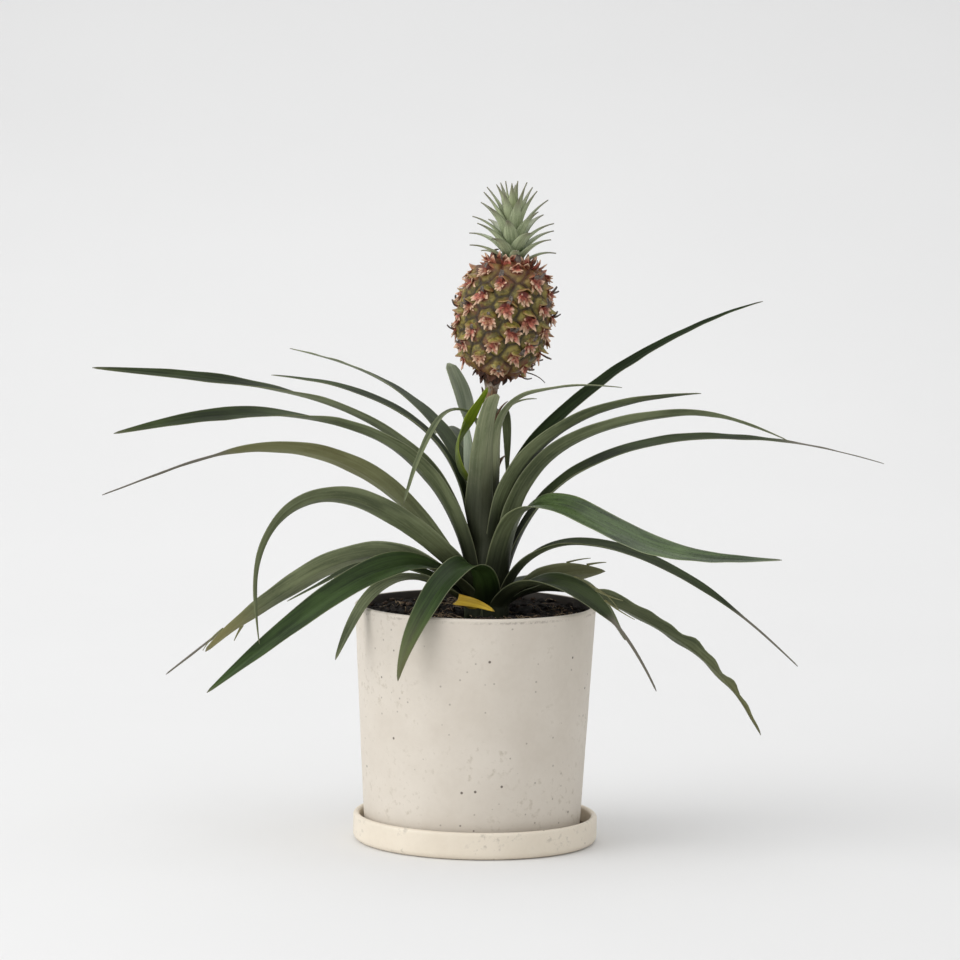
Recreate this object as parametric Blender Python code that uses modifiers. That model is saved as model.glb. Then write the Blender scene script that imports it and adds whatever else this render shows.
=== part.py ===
"""A young pineapple plant in a round ceramic pot on a saucer.

Metres, +Z up. The origin is the centre of the saucer's underside, +X is the way the fruit leans, and an
azimuth is counted in degrees from +X towards +Y. Every piece is an object of its own: saucer, pot, potting
mix, stem, each leaf and bract, the fruit with its eyes, and the crown.
"""

from math import atan2, cos, hypot, pi, radians, sin

import bmesh
import bpy
import numpy as np
from mathutils import Matrix, Vector

MM = 0.001
GAP = 0.3 * MM

# Saucer, centred on the origin
SAUCER_RADIUS = 76 * MM
SAUCER_HEIGHT = 17 * MM
SAUCER_WALL = 3.8 * MM
SAUCER_FLOOR = 5 * MM
SAUCER_HEEL = 4 * MM
SAUCER_FILLET = 3 * MM

# Pot, standing a little off the saucer's centre
POT_X = -2 * MM
POT_TOP = 148 * MM
POT_RIM_RADIUS = 75 * MM
POT_FOOT_RADIUS = 67 * MM
POT_WALL = 4.2 * MM
POT_FLOOR = 6 * MM
DRAIN_RADIUS = 8 * MM
ROUND_STEPS = 48

# Potting mix, a little under the pot's lip and dished round the stem
MIX_TOP = 143 * MM
MIX_DISH = 5 * MM
MIX_DISH_REACH = 28 * MM
MIX_RELIEF = 1.6 * MM
MIX_HEEL = 3 * MM
MIX_HOLE_RADIUS = 13 * MM

# Stem: height and radius, from the foot in the mix up to the fruit. Low down it is the core of leaf bases
STEM_X = 5 * MM
STEM_FOOT = 106
STEM_RADII = (
    (STEM_FOOT, 9.0), (124, 12.0), (148, 12.5), (165, 11.5), (180, 10.0), (195, 8.0), (210, 6.2), (225, 4.8),
    (245, 3.8), (272, 3.3), (283, 4.2), (291, 6.6),
)
STEM_SIDES = 16
SCALES = 6
SCALES_FROM = 276 * MM
SCALE_STEP = 1.2 * MM
SCALE_ROOT = 2.2 * MM
SCALE_LENGTH = 8 * MM

# Fruit, leaning with the top of the stem
FRUIT_FOOT = Vector((6.5 * MM, 0, 291 * MM))
FRUIT_LEAN = radians(9)
FRUIT_LENGTH = 70 * MM
FRUIT_RADIUS = 26.5 * MM
FRUIT_ROUNDNESS = (2.1, 2.6)
FRUIT_END = radians(78)
EYES = 60
EYES_FROM, EYES_TO = -62, 66
EYE_RADIUS = 7.6 * MM
EYE_TOP_SHARE = 0.45
EYE_RISE = 2.6 * MM
EYE_SUNK = 3 * MM
SPINE_LENGTH = 7.5 * MM
SPINE_ROOT = 1.5 * MM
SPINE_SLANT = 0.7

# Crown of small leaves on the fruit
CROWN_LEAN = radians(-2)
CROWN_LEAVES = 40
CROWN_HEIGHT = 52 * MM
CROWN_CORE_RADIUS = 7.5 * MM
CROWN_CORE_SHARE = 0.72
CROWN_BLADE_HALVES = (3.6 * MM, 3.0 * MM, 0.45 * MM)
# each value runs from the lowest leaf of the crown to the topmost
CROWN_ROOTS = (0.05, 0.60)
CROWN_LENGTHS = (21 * MM, 28 * MM)
CROWN_SLANTS = (48, 4)
CROWN_CURLS = (34, 0)
CROWN_WIDTHS = (1.0, 0.65)

GOLDEN_ANGLE = radians(137.508)

LEAF_THICKNESS = 0.8 * MM
LEAF_BASE_WIDTH = 10 * MM
LEAF_TIP_WIDTH = 0.9 * MM
LEAF_STEP = 17 * MM
LEAF_OPEN_BY = 0.25
LEAF_TAPER = 2.6
LEAF_TAIL_WIDTH = 2.6 * MM
LEAF_WAVE_STEP = 2.4
CUP_ROOT = 42
CUP_TIP = 20

# Leaves. root: azimuth on the stem; z: height of the root; rise: the midrib's angle above level at even
# steps from root to tip; turn: how far the azimuth swings on the way; roll: twist about the midrib; dry: the
# share of the length that is a thin dead tip; wave: height of the edge's waves in mm; tip: width of a blunt
# tip in mm; taper: how late the blade narrows
LEAVES = (
    # long arching leaves of the left side
    dict(root=172, z=173, length=290, width=15,
         rise=(85, 60, 38, 23, 11, 7, 4, 3), roll=(0, 30, 20, -35, -45), turn=(0, 6), taper=3.5),
    dict(root=203, z=164, length=276, width=17,
         rise=(82, 65, 45, 20, 8, -2, -11, -13), roll=(0, 30, 20, -40, -45), turn=(0, -16, -18), taper=4),
    dict(root=190, z=158, length=272, width=20,
         rise=(58, 52, 41, 21, 3, -13, -19, -18), roll=(0, 40, 50, 40), turn=(0, 14), dry=0.28),
    dict(root=230, z=155, length=247, width=18,
         rise=(48, 39, 32, 23, -8, -56, -90, -98), roll=(0, 40, 45, 30), turn=(0, -22, -24), taper=4),
    dict(root=116, z=178, length=276, width=14,
         rise=(74, 61, 34, 22, 15, 9, 5, 4), roll=(0, 0, 20, 25), turn=(0, 8, 12), taper=2),
    dict(root=160, z=185, length=192, width=13,
         rise=(78, 76, 56, 35, 22, 13, 5, 3), roll=(0, 10, -10, -10), turn=(0, -6), taper=3),
    dict(root=190, z=246, length=108, width=6,
         rise=(80, 68, 6, -40, -52, -58, -62, -66), turn=(0, 38, 46)),
    # lower leaves of the left side
    dict(root=156, z=152.5, length=211, width=21,
         rise=(50, 22, -3, -18, -31, -34, -37, -44), roll=(0, 45, 45, 30), tip=3, taper=3),
    dict(root=136, z=147, length=290, width=16,
         rise=(40, 14, 0, -21, -32, -33, -35, -36), roll=(0, 20, 30, 30), turn=(0, 6, 10), dry=0.3),
    dict(root=169, z=150.5, length=125, width=11,
         rise=(32, 30, 17, 3, -13, -30, -30, -28), roll=(0, -20, -20)),
    dict(root=213, z=151, length=213, width=22,
         rise=(56, 26, -8, -23, -29, -32, -33, -34), roll=(0, -35, -40, -40), turn=(0, 0), taper=2.4),
    dict(root=202, z=148.5, length=118, width=12,
         rise=(34, 31, 16, -8, -36, -56, -62, -66), roll=(0, -20, -30), turn=(0, 10), taper=3.5),
    dict(root=266, z=148, length=140, width=19,
         rise=(64, 52, 18, -26, -48, -56, -66, -80), roll=(0, -20, -20), turn=(0, -42, -56), taper=4),
    # leaves of the right side
    dict(root=298, z=215, length=133, width=10,
         rise=(85, 86, 86, 54, 16, 10, 0, -4), roll=(0, -10, -10), turn=(0, 36, 50, 52)),
    dict(root=38, z=200, length=262, width=17,
         rise=(76, 51, 36, 31, 24, 20, 16, 10), roll=(0, 10, 10), taper=1.4),
    dict(root=306, z=188, length=177, width=18,
         rise=(80, 71, 54, 39, 28, 15, 8, 4), roll=(0, -20, -30, -25), turn=(0, 42, 64)),
    dict(root=324, z=168, length=240, width=17,
         rise=(84, 76, 51, 27, 15, 6, -15, -23), roll=(0, -25, -30, -20), turn=(0, 20, 26)),
    dict(root=1, z=164, length=287, width=15,
         rise=(82, 58, 31, 14, 2, -5, -12, -16), roll=(0, 15, 20, 10), turn=(0, 12, 15), dry=0.22, taper=3),
    dict(root=299, z=155, length=283, width=21,
         rise=(84, 62, 8, -14, -14, -4, 4, 6), roll=(0, 25, 35, 25), turn=(0, 14, 20), taper=3),
    dict(root=340, z=152, length=224, width=16,
         rise=(80, 37, 1, -14, -24, -32, -38, -41), roll=(0, 10, 20, 10), turn=(0, 3), dry=0.2),
    dict(root=318, z=147, length=148, width=25,
         rise=(58, 26, 0, -18, -32, -44, -54, -60), roll=(0, 15, 20), turn=(0, 10), dry=0.34, taper=4),
    dict(root=12, z=147.5, length=202, width=22,
         rise=(40, -2, -18, -27, -32, -42, -54, -62), roll=(0, -25, -30, -20),
         turn=(0, -3), wave=2, taper=2.2),
    dict(root=30, z=152, length=75, width=19,
         rise=(26, 24, 16, 9, 2, 0, 2, 4), roll=(0, -50, -60, -55), taper=4),
    # middle leaves and bracts round the stalk of the fruit
    dict(root=128, z=202, length=100, width=22,
         rise=(54, 60, 76, 90, 88, 78, 66, 56), roll=(0, 20, 45, 50, 30, 0, -10, -15),
         turn=(0, 20, 26), tip=9, taper=5),
    dict(root=242, z=186, length=98, width=19,
         rise=(80, 83, 83, 83, 83, 80, 70, 50), turn=(0, 46, 62, 66), tip=10, taper=2.2),
    dict(root=15, z=246, length=45, width=8,
         rise=(88, 86, 80, 65, 45, 25, 10, 0), turn=(0, -20)),
    dict(root=66, z=225, length=94, width=9,
         rise=(88, 88, 84, 60, -60, -84, -88, -88)),
    dict(root=205, z=220, length=78, width=14,
         rise=(26, 42, 74, 98, 116, 124, 128, 126), turn=(0, -15, -60, -66), tip=3, taper=5),
    # leaves of the far side
    dict(root=104, z=166, length=220, width=16,
         rise=(80, 60, 42, 25, 8, -8, -20, -30)),
    dict(root=62, z=145, length=200, width=17,
         rise=(30, 8, 0, -6, -18, -30, -38, -42)),
    dict(root=100, z=143, length=205, width=18,
         rise=(28, 8, 0, -5, -14, -26, -36, -42)),
    dict(root=86, z=157, length=190, width=16,
         rise=(60, 30, 8, -5, -20, -32, -40, -45)),
    # a yellow dying leaf that lies in front of the stem
    dict(root=226, z=146, length=58, width=8,
         rise=(32, 22, 14, 8, 2, -6, -16, -24), roll=(0, 45, 65, 65, 50), turn=(0, 30, 96, 118), taper=4),
)


def material(name, colour, roughness):
    """A plain material with the piece's colour and roughness."""
    made = bpy.data.materials.new(name)
    made.use_nodes = True
    shader = made.node_tree.nodes["Principled BSDF"]
    shader.inputs["Base Color"].default_value = (*colour, 1)
    shader.inputs["Roughness"].default_value = roughness
    made.diffuse_color = (*colour, 1)
    return made


def add_object(name, mesh, surface, collection):
    made = bpy.data.objects.new(name, mesh)
    collection.objects.link(made)
    if surface:
        mesh.materials.append(surface)
    return made


def mesh_from(bm, name):
    mesh = bpy.data.meshes.new(name)
    bm.to_mesh(mesh)
    bm.free()
    return mesh


def solid_mesh(made):
    """The mesh of an object as its modifiers leave it."""
    graph = bpy.context.evaluated_depsgraph_get()
    return bpy.data.meshes.new_from_object(made.evaluated_get(graph))


def fuse(base, repeats, solver="EXACT"):
    """Joins the collection of repeats to the base in one Boolean union, and drops the repeats."""
    union = base.modifiers.new("union", "BOOLEAN")
    union.operation = "UNION"
    union.operand_type = "COLLECTION"
    union.collection = repeats
    union.solver = solver
    joined = solid_mesh(base)
    base.modifiers.clear()
    base.data = joined
    for piece in list(repeats.objects):
        bpy.data.objects.remove(piece)
    bpy.data.collections.remove(repeats)
    return base


def arc(centre, radius, start, end, count):
    """Points of an arc in a turned profile, as (distance from the axis, height), angles in degrees."""
    angles = [radians(start + (end - start) * i / count) for i in range(count + 1)]
    return [(centre[0] + radius * cos(a), centre[1] + radius * sin(a)) for a in angles]


def turned(name, outline, steps, surface, collection):
    """A solid of revolution about Z from a closed outline that runs down its outer side first."""
    mesh = bpy.data.meshes.new(name)
    count = len(outline)
    edges = [(i, (i + 1) % count) for i in range(count)]
    mesh.from_pydata([(r, 0, z) for r, z in outline], edges, [])
    made = add_object(name, mesh, surface, collection)
    screw = made.modifiers.new("turn", "SCREW")
    screw.steps = screw.render_steps = steps
    screw.use_merge_vertices = True
    screw.merge_threshold = 0.00001
    return made


def spun(outline, steps):
    """A solid of revolution about Z from an outline that starts and ends on the axis, as a bmesh."""
    bm = bmesh.new()
    path = [bm.verts.new((r, 0, z)) for r, z in outline]
    for a, b in zip(path, path[1:]):
        bm.edges.new((a, b))
    bmesh.ops.spin(
        bm, geom=bm.verts[:] + bm.edges[:], axis=(0, 0, 1), cent=(0, 0, 0), angle=2 * pi, steps=steps
    )
    bmesh.ops.remove_doubles(bm, verts=bm.verts[:], dist=0.00001)
    bmesh.ops.recalc_face_normals(bm, faces=bm.faces[:])
    return bm


def make_saucer(surface, collection):
    lip = SAUCER_WALL / 2
    inner = SAUCER_RADIUS - SAUCER_WALL
    outline = [(0, 0)]
    outline += arc((SAUCER_RADIUS - SAUCER_HEEL, SAUCER_HEEL), SAUCER_HEEL, -90, 0, 3)
    outline += arc((SAUCER_RADIUS - lip, SAUCER_HEIGHT - lip), lip, 0, 90, 3)
    outline += [(inner, SAUCER_HEIGHT - lip)]
    outline += arc((inner - SAUCER_FILLET, SAUCER_FLOOR + SAUCER_FILLET), SAUCER_FILLET, 0, -90, 2)
    outline += [(0, SAUCER_FLOOR)]
    return add_object("saucer", mesh_from(spun(outline, ROUND_STEPS), "saucer"), surface, collection)


def pot_radius(z):
    """The outer radius of the pot at a height."""
    foot = SAUCER_FLOOR + GAP
    return POT_FOOT_RADIUS + (POT_RIM_RADIUS - POT_FOOT_RADIUS) * (z - foot) / (POT_TOP - foot)


def make_pot(surface, collection):
    foot = SAUCER_FLOOR + GAP
    lip = 1.2 * MM
    heel = 4 * MM
    rim = POT_RIM_RADIUS - lip
    outline = [(rim - POT_WALL + 3 * lip, POT_TOP)]
    outline += arc((rim, POT_TOP - lip), lip, 90, 0, 2)
    outline += arc((pot_radius(foot + heel) - heel, foot + heel), heel, 0, -90, 3)
    outline += [(DRAIN_RADIUS, foot), (DRAIN_RADIUS, foot + POT_FLOOR)]
    outline += [(pot_radius(foot + POT_FLOOR) - POT_WALL - 2 * MM, foot + POT_FLOOR)]
    outline += [(pot_radius(foot + POT_FLOOR + 2 * MM) - POT_WALL, foot + POT_FLOOR + 2 * MM)]
    outline += [(POT_RIM_RADIUS - POT_WALL, POT_TOP - lip)]
    pot = turned("pot", outline, ROUND_STEPS, surface, collection)
    pot.location.x = POT_X
    return pot


def make_mix(surface, collection):
    """The potting mix: it fills the pot, has a crumbly top, and a plain hole that holds the stem."""
    floor = SAUCER_FLOOR + POT_FLOOR + 2 * GAP
    play = GAP + 0.2 * MM
    bottom = pot_radius(floor) - POT_WALL - MIX_HEEL
    low_side = pot_radius(floor + MIX_HEEL) - POT_WALL - play
    top_side = pot_radius(MIX_TOP) - POT_WALL - play
    hole_floor = STEM_FOOT * MM - GAP
    rings = np.linspace(top_side - 3 * MM, MIX_HOLE_RADIUS, 7)
    outline = [(0, floor), (bottom, floor), (low_side, floor + MIX_HEEL), (top_side, MIX_TOP)]
    outline += [(r, MIX_TOP) for r in rings]
    outline += [(MIX_HOLE_RADIUS, hole_floor), (0, hole_floor)]
    bm = spun(outline, 36)
    for vert in bm.verts:
        spread = hypot(vert.co.x, vert.co.y)
        if abs(vert.co.z - MIX_TOP) < GAP and spread < top_side - MM:
            x, y = vert.co.x / MM, vert.co.y / MM
            vert.co.z += MIX_RELIEF * (sin(0.31 * x + 0.9) * cos(0.27 * y) + 0.6 * sin(0.55 * x - 0.43 * y))
            dish = max(0, 1 - (spread - MIX_HOLE_RADIUS) / MIX_DISH_REACH)
            vert.co.z -= MIX_DISH * dish
        # the hole is centred on the stem, and the outside on the pot
        inward = min(1, max(0, (top_side - spread) / (top_side - MIX_HOLE_RADIUS)))
        under_hole = vert.co.z < hole_floor - GAP
        vert.co.x += POT_X if under_hole else POT_X + (STEM_X - POT_X) * inward
    return add_object("potting_mix", mesh_from(bm, "potting_mix"), surface, collection)


def stem_radius(z):
    heights, widths = zip(*STEM_RADII)
    return float(np.interp(z / MM, heights, widths)) * MM


def stem_x(z):
    """The stem stands upright and leans over only in its last stretch, under the fruit."""
    lean_from = FRUIT_FOOT.z - 2 * (FRUIT_FOOT.x - STEM_X) / np.tan(FRUIT_LEAN)
    over = max(0, z - lean_from) / (FRUIT_FOOT.z - lean_from)
    return STEM_X + (FRUIT_FOOT.x - STEM_X) * over**2


def horn(length, root, sides, place, surface, collection):
    """A pointed spine: a slim cone, standing at a place given as a matrix."""
    bm = bmesh.new()
    bmesh.ops.create_cone(
        bm, cap_ends=True, segments=sides, radius1=root, radius2=0.35 * MM, depth=length,
        matrix=place @ Matrix.Translation((0, 0, length / 2)),
    )
    return add_object("horn", mesh_from(bm, "horn"), surface, collection)


def facing(point, direction):
    """A place at a point, whose Z runs along a direction."""
    return Matrix.Translation(point) @ direction.to_track_quat("Z", "Y").to_matrix().to_4x4()


def make_stem(surface, collection):
    """The core of leaf bases and the stalk of the fruit, with a few pointed scales at its top."""
    curve = bpy.data.curves.new("stem", "CURVE")
    curve.dimensions = "3D"
    curve.bevel_depth = MM
    curve.bevel_resolution = STEM_SIDES // 4 - 1
    curve.use_fill_caps = True
    line = curve.splines.new("POLY")
    line.points.add(len(STEM_RADII) - 1)
    for point, (height, width) in zip(line.points, STEM_RADII):
        z = height * MM
        x = stem_x(z)
        point.co = (x, 0, z, 1)
        point.radius = width
    top = line.points[-1]
    top.co = (FRUIT_FOOT.x - GAP * sin(FRUIT_LEAN), 0, FRUIT_FOOT.z - GAP * cos(FRUIT_LEAN), 1)
    guide = bpy.data.objects.new("stem_guide", curve)
    collection.objects.link(guide)
    mesh = solid_mesh(guide)
    bpy.data.objects.remove(guide)
    bm = bmesh.new()
    bm.from_mesh(mesh)
    bmesh.ops.remove_doubles(bm, verts=bm.verts[:], dist=0.00001)
    bmesh.ops.recalc_face_normals(bm, faces=bm.faces[:])
    stem = add_object("stem", mesh_from(bm, "stem"), surface, collection)
    scales = bpy.data.collections.new("scales")
    bpy.context.scene.collection.children.link(scales)
    for i in range(SCALES):
        around = i * GOLDEN_ANGLE
        z = SCALES_FROM + i * SCALE_STEP
        out = Vector((cos(around), sin(around), 0))
        foot = Vector((stem_x(z), 0, z)) + out * SCALE_ROOT / 2
        horn(SCALE_LENGTH, SCALE_ROOT, 5, facing(foot, out + Vector((0, 0, 1))), None, scales)
    return fuse(stem, scales)


def steps_at(values, share):
    """Reads evenly spaced values at shares between 0 and 1."""
    return np.interp(share, np.linspace(0, 1, len(values)), values)


def leaf_frame(leaf, share):
    """The midrib of a leaf, with the directions across the blade and out of its upper face, at each share."""
    rise = np.radians(steps_at(leaf["rise"], share))
    azimuth = np.radians(leaf["root"] + steps_at(leaf.get("turn", (0, 0)), share))
    roll = np.radians(steps_at(leaf.get("roll", (0, 0)), share))
    out = np.stack([np.cos(azimuth), np.sin(azimuth), 0 * azimuth], 1)
    side = np.stack([-np.sin(azimuth), np.cos(azimuth), 0 * azimuth], 1)
    up = np.array([0, 0, 1.0])
    along = out * np.cos(rise)[:, None] + up * np.sin(rise)[:, None]
    above = up * np.cos(rise)[:, None] - out * np.sin(rise)[:, None]
    runs = (along[1:] + along[:-1]) / 2 * (np.diff(share) * leaf["length"] * MM)[:, None]
    root_z = leaf["z"] * MM
    root = np.array([stem_x(root_z), 0, root_z]) + out[0] * (stem_radius(root_z) + GAP + LEAF_THICKNESS / 2)
    midrib = root + np.vstack([np.zeros(3), np.cumsum(runs, axis=0)])
    across = side * np.cos(roll)[:, None] + above * np.sin(roll)[:, None]
    normal = above * np.cos(roll)[:, None] - side * np.sin(roll)[:, None]
    return midrib, across, normal


def leaf_width(leaf, share):
    """The blade starts narrow where it clasps the stem, opens to its full width, and tapers to a point."""
    full = leaf["width"] * MM
    base = min(LEAF_BASE_WIDTH, full, stem_radius(leaf["z"] * MM))
    tip = leaf["tip"] * MM if "tip" in leaf else LEAF_TIP_WIDTH
    dry = leaf.get("dry", 0)
    tail = LEAF_TAIL_WIDTH if dry else tip
    live = np.minimum(1, share / (1 - dry))
    opening = np.clip(share / LEAF_OPEN_BY, 0, 1)
    opening = opening * opening * (3 - 2 * opening)
    blade = (base + (full - base) * opening) * (1 - (1 - tail / full) * live ** leaf.get("taper", LEAF_TAPER))
    withered = np.maximum(0, share - 1 + dry) / max(dry, 0.01)
    return blade + (tip - tail) * withered


def make_leaf(name, leaf, surface, collection):
    count = max(7, round(leaf["length"] * MM / LEAF_STEP))
    bm = bmesh.new()
    bmesh.ops.create_grid(bm, x_segments=count, y_segments=2, size=1)
    share = np.linspace(0, 1, count + 1)
    midrib, across, normal = leaf_frame(leaf, share)
    width = leaf_width(leaf, share)
    # the channel matches the stem's curve at the root, and flattens towards the tip
    root_cup = width[0] / 2 / (stem_radius(leaf["z"] * MM) + GAP)
    cup = np.radians(CUP_ROOT + (CUP_TIP - CUP_ROOT) * share)
    cup[0] = root_cup
    for vert in bm.verts:
        station = round((vert.co.x + 1) / 2 * count)
        edge = round(vert.co.y)
        angle = cup[station] * edge
        bend = width[station] / 2 / cup[station]
        lift = bend * (1 - cos(angle))
        if edge and 0 < station < count:
            lift += leaf.get("wave", 0) * MM * sin(LEAF_WAVE_STEP * station + edge)
        place = midrib[station] + across[station] * bend * sin(angle) + normal[station] * lift
        vert.co = Vector(place)
    bmesh.ops.triangulate(bm, faces=bm.faces[:])
    made = add_object(name, mesh_from(bm, name), surface, collection)
    blade = made.modifiers.new("blade", "SOLIDIFY")
    blade.thickness = LEAF_THICKNESS
    blade.offset = 0
    return made


def fruit_point(angle):
    """The fruit's outline: distance from its axis and height, at an angle up or down from its middle."""
    lower, upper = FRUIT_ROUNDNESS
    power = 2 / (upper if angle > 0 else lower)
    radius = FRUIT_RADIUS * cos(angle) ** power
    height = FRUIT_LENGTH / 2 * abs(sin(angle)) ** power / sin(FRUIT_END) ** power
    return radius, FRUIT_LENGTH / 2 + (height if angle > 0 else -height)


def eye_angles():
    """Angles up the fruit's outline that give every eye the same share of the skin."""
    fine = np.radians(np.linspace(EYES_FROM, EYES_TO, 400))
    points = np.array([fruit_point(a) for a in fine])
    strips = np.hypot(*np.diff(points, axis=0).T) * (points[1:, 0] + points[:-1, 0]) / 2
    covered = np.concatenate([[0], np.cumsum(strips)]) / strips.sum()
    return np.interp((np.arange(EYES) + 0.5) / EYES, covered, fine)


def make_fruit(surface, collection):
    """A barrel with eyes in spirals, each a low six-sided boss with a spine, fused into one solid."""
    place = Matrix.Translation(FRUIT_FOOT) @ Matrix.Rotation(FRUIT_LEAN, 4, "Y")
    angles = [-FRUIT_END + 2 * FRUIT_END * i / 10 for i in range(11)]
    outline = [(0, fruit_point(angles[0])[1])] + [fruit_point(a) for a in angles]
    outline += [(0, fruit_point(angles[-1])[1])]
    bm = spun(outline, 20)
    bm.transform(place)
    fruit = add_object("fruit", mesh_from(bm, "fruit"), surface, collection)
    eyes = bpy.data.collections.new("eyes")
    bpy.context.scene.collection.children.link(eyes)
    for i, angle in enumerate(eye_angles()):
        radius, height = fruit_point(angle)
        near, far = fruit_point(angle - 0.02), fruit_point(angle + 0.02)
        slope = atan2(far[1] - near[1], far[0] - near[0])
        around = i * GOLDEN_ANGLE
        out = Vector((cos(around), sin(around), 0))
        normal = out * sin(slope) + Vector((0, 0, -cos(slope)))
        upward = out * cos(slope) + Vector((0, 0, sin(slope)))
        point = out * radius + Vector((0, 0, height))
        bm = bmesh.new()
        bmesh.ops.create_cone(
            bm, cap_ends=True, segments=6, radius1=EYE_RADIUS, radius2=EYE_RADIUS * EYE_TOP_SHARE,
            depth=EYE_RISE + EYE_SUNK,
            matrix=place @ facing(point + normal * (EYE_RISE - EYE_SUNK) / 2, normal),
        )
        add_object("eye", mesh_from(bm, "eye"), None, eyes)
        foot = point + normal * SPINE_ROOT / 3 - upward * SPINE_ROOT
        tilt = normal + upward * SPINE_SLANT
        horn(SPINE_LENGTH, SPINE_ROOT, 4, place @ facing(foot, tilt), None, eyes)
    return fuse(fruit, eyes)


def make_crown(surface, collection):
    """The tuft on the fruit: narrow leaves in a tight spiral on a small core, fused into one solid."""
    top = fruit_point(FRUIT_END)[1] + GAP
    foot = FRUIT_FOOT + Matrix.Rotation(FRUIT_LEAN, 3, "Y") @ Vector((0, 0, top))
    core_height = CROWN_CORE_SHARE * CROWN_HEIGHT
    bm = bmesh.new()
    bmesh.ops.create_cone(
        bm, cap_ends=True, segments=10, radius1=CROWN_CORE_RADIUS, radius2=1.2 * MM, depth=core_height,
        matrix=Matrix.Translation((0, 0, core_height / 2)),
    )
    # the foot lies flat on the fruit, and the rest stands nearly upright
    for vert in bm.verts:
        lean = FRUIT_LEAN if vert.co.z < MM else CROWN_LEAN
        vert.co = foot + Matrix.Rotation(lean, 3, "Y") @ vert.co
    crown = add_object("crown", mesh_from(bm, "crown"), surface, collection)
    blades = bpy.data.collections.new("blades")
    bpy.context.scene.collection.children.link(blades)
    turn = Matrix.Rotation(CROWN_LEAN, 4, "Y")
    for i in range(CROWN_LEAVES):
        level = (i + 0.5) / CROWN_LEAVES
        around = i * GOLDEN_ANGLE
        root_z = float(steps_at(CROWN_ROOTS, level)) * CROWN_HEIGHT
        root_r = CROWN_CORE_RADIUS * (1 - root_z / core_height) / 2
        length = min(float(steps_at(CROWN_LENGTHS, level)), CROWN_HEIGHT - root_z)
        lean = radians(steps_at(CROWN_SLANTS, level))
        curl = radians(steps_at(CROWN_CURLS, level))
        out = Vector((cos(around), sin(around), 0))
        side = Vector((-sin(around), cos(around), 0))
        steps = len(CROWN_BLADE_HALVES) - 1
        bm = bmesh.new()
        bmesh.ops.create_grid(bm, x_segments=steps, y_segments=1, size=1)
        spine = [out * root_r + Vector((0, 0, root_z))]
        for station in range(steps):
            slant = lean + curl * station
            spine.append(spine[-1] + (out * sin(slant) + Vector((0, 0, cos(slant)))) * length / steps)
        for vert in bm.verts:
            station = round((vert.co.x + 1) / 2 * steps)
            half = CROWN_BLADE_HALVES[station] * float(steps_at(CROWN_WIDTHS, level))
            vert.co = spine[station] + side * half * round(vert.co.y)
        bmesh.ops.triangulate(bm, faces=bm.faces[:])
        bm.transform(Matrix.Translation(foot) @ turn)
        blade = add_object("blade", mesh_from(bm, "blade"), None, blades)
        thick = blade.modifiers.new("thick", "SOLIDIFY")
        thick.thickness = 0.7 * MM
        thick.offset = 0
    return fuse(crown, blades)


def main():
    for old in list(bpy.data.objects):
        bpy.data.objects.remove(old)
    plant = bpy.data.collections.new("potted_pineapple")
    bpy.context.scene.collection.children.link(plant)
    glaze = material("saucer_ceramic", (0.80, 0.74, 0.64), 0.5)
    ceramic = material("pot_ceramic", (0.68, 0.62, 0.54), 0.7)
    mix = material("mix_brown", (0.05, 0.035, 0.025), 0.95)
    bark = material("stem_green", (0.16, 0.19, 0.11), 0.6)
    green = material("leaf_green", (0.08, 0.14, 0.05), 0.45)
    skin = material("fruit_olive", (0.28, 0.20, 0.09), 0.6)
    tuft = material("crown_green", (0.33, 0.42, 0.28), 0.6)
    make_saucer(glaze, plant)
    make_pot(ceramic, plant)
    make_mix(mix, plant)
    make_stem(bark, plant)
    for number, leaf in enumerate(LEAVES, 1):
        make_leaf(f"leaf_{number:02d}", leaf, green, plant)
    make_fruit(skin, plant)
    make_crown(tuft, plant)


main()
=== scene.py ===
"""The looks of a young pineapple plant in a ceramic pot on a saucer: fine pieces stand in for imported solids.

Lengths are in metres unless mm is named, azimuths are degrees from +X towards +Y, and colours are the 0 to 255
values that a colour picker shows.
"""

from math import atan2, cos, hypot, pi, radians, sin, sqrt, tan
from types import SimpleNamespace

import bpy
import numpy as np
from mathutils import Matrix, Vector, noise


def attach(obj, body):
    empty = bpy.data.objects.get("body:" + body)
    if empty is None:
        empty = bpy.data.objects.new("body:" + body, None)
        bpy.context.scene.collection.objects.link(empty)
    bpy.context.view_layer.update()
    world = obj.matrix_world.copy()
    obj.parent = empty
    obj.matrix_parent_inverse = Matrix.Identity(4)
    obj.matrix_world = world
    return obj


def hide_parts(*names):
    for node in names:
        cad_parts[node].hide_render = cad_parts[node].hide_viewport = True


MM = 0.001
EAST, NORTH, UP = np.eye(3)
GOLDEN_ANGLE = radians(137.508)
GAP = 0.3 * MM

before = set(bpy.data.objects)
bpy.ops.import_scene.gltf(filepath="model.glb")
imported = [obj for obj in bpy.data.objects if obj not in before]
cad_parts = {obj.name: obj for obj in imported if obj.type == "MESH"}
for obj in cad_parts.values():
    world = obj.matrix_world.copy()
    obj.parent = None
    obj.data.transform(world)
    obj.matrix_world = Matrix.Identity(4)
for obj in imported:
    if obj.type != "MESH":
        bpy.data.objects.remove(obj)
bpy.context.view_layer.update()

# Stem: height and radius in mm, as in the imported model
STEM_X = 5 * MM
STEM_RADII = (
    (106, 9), (124, 12), (148, 12.5), (165, 11.5), (180, 10), (195, 8), (210, 6.2), (225, 4.8),
    (245, 3.8), (272, 3.3), (283, 4.2), (291, 6.6),
)
STALK_SCALES = 9
SCALES_FROM = 228 * MM
SCALES_REACH = 54 * MM

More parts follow.
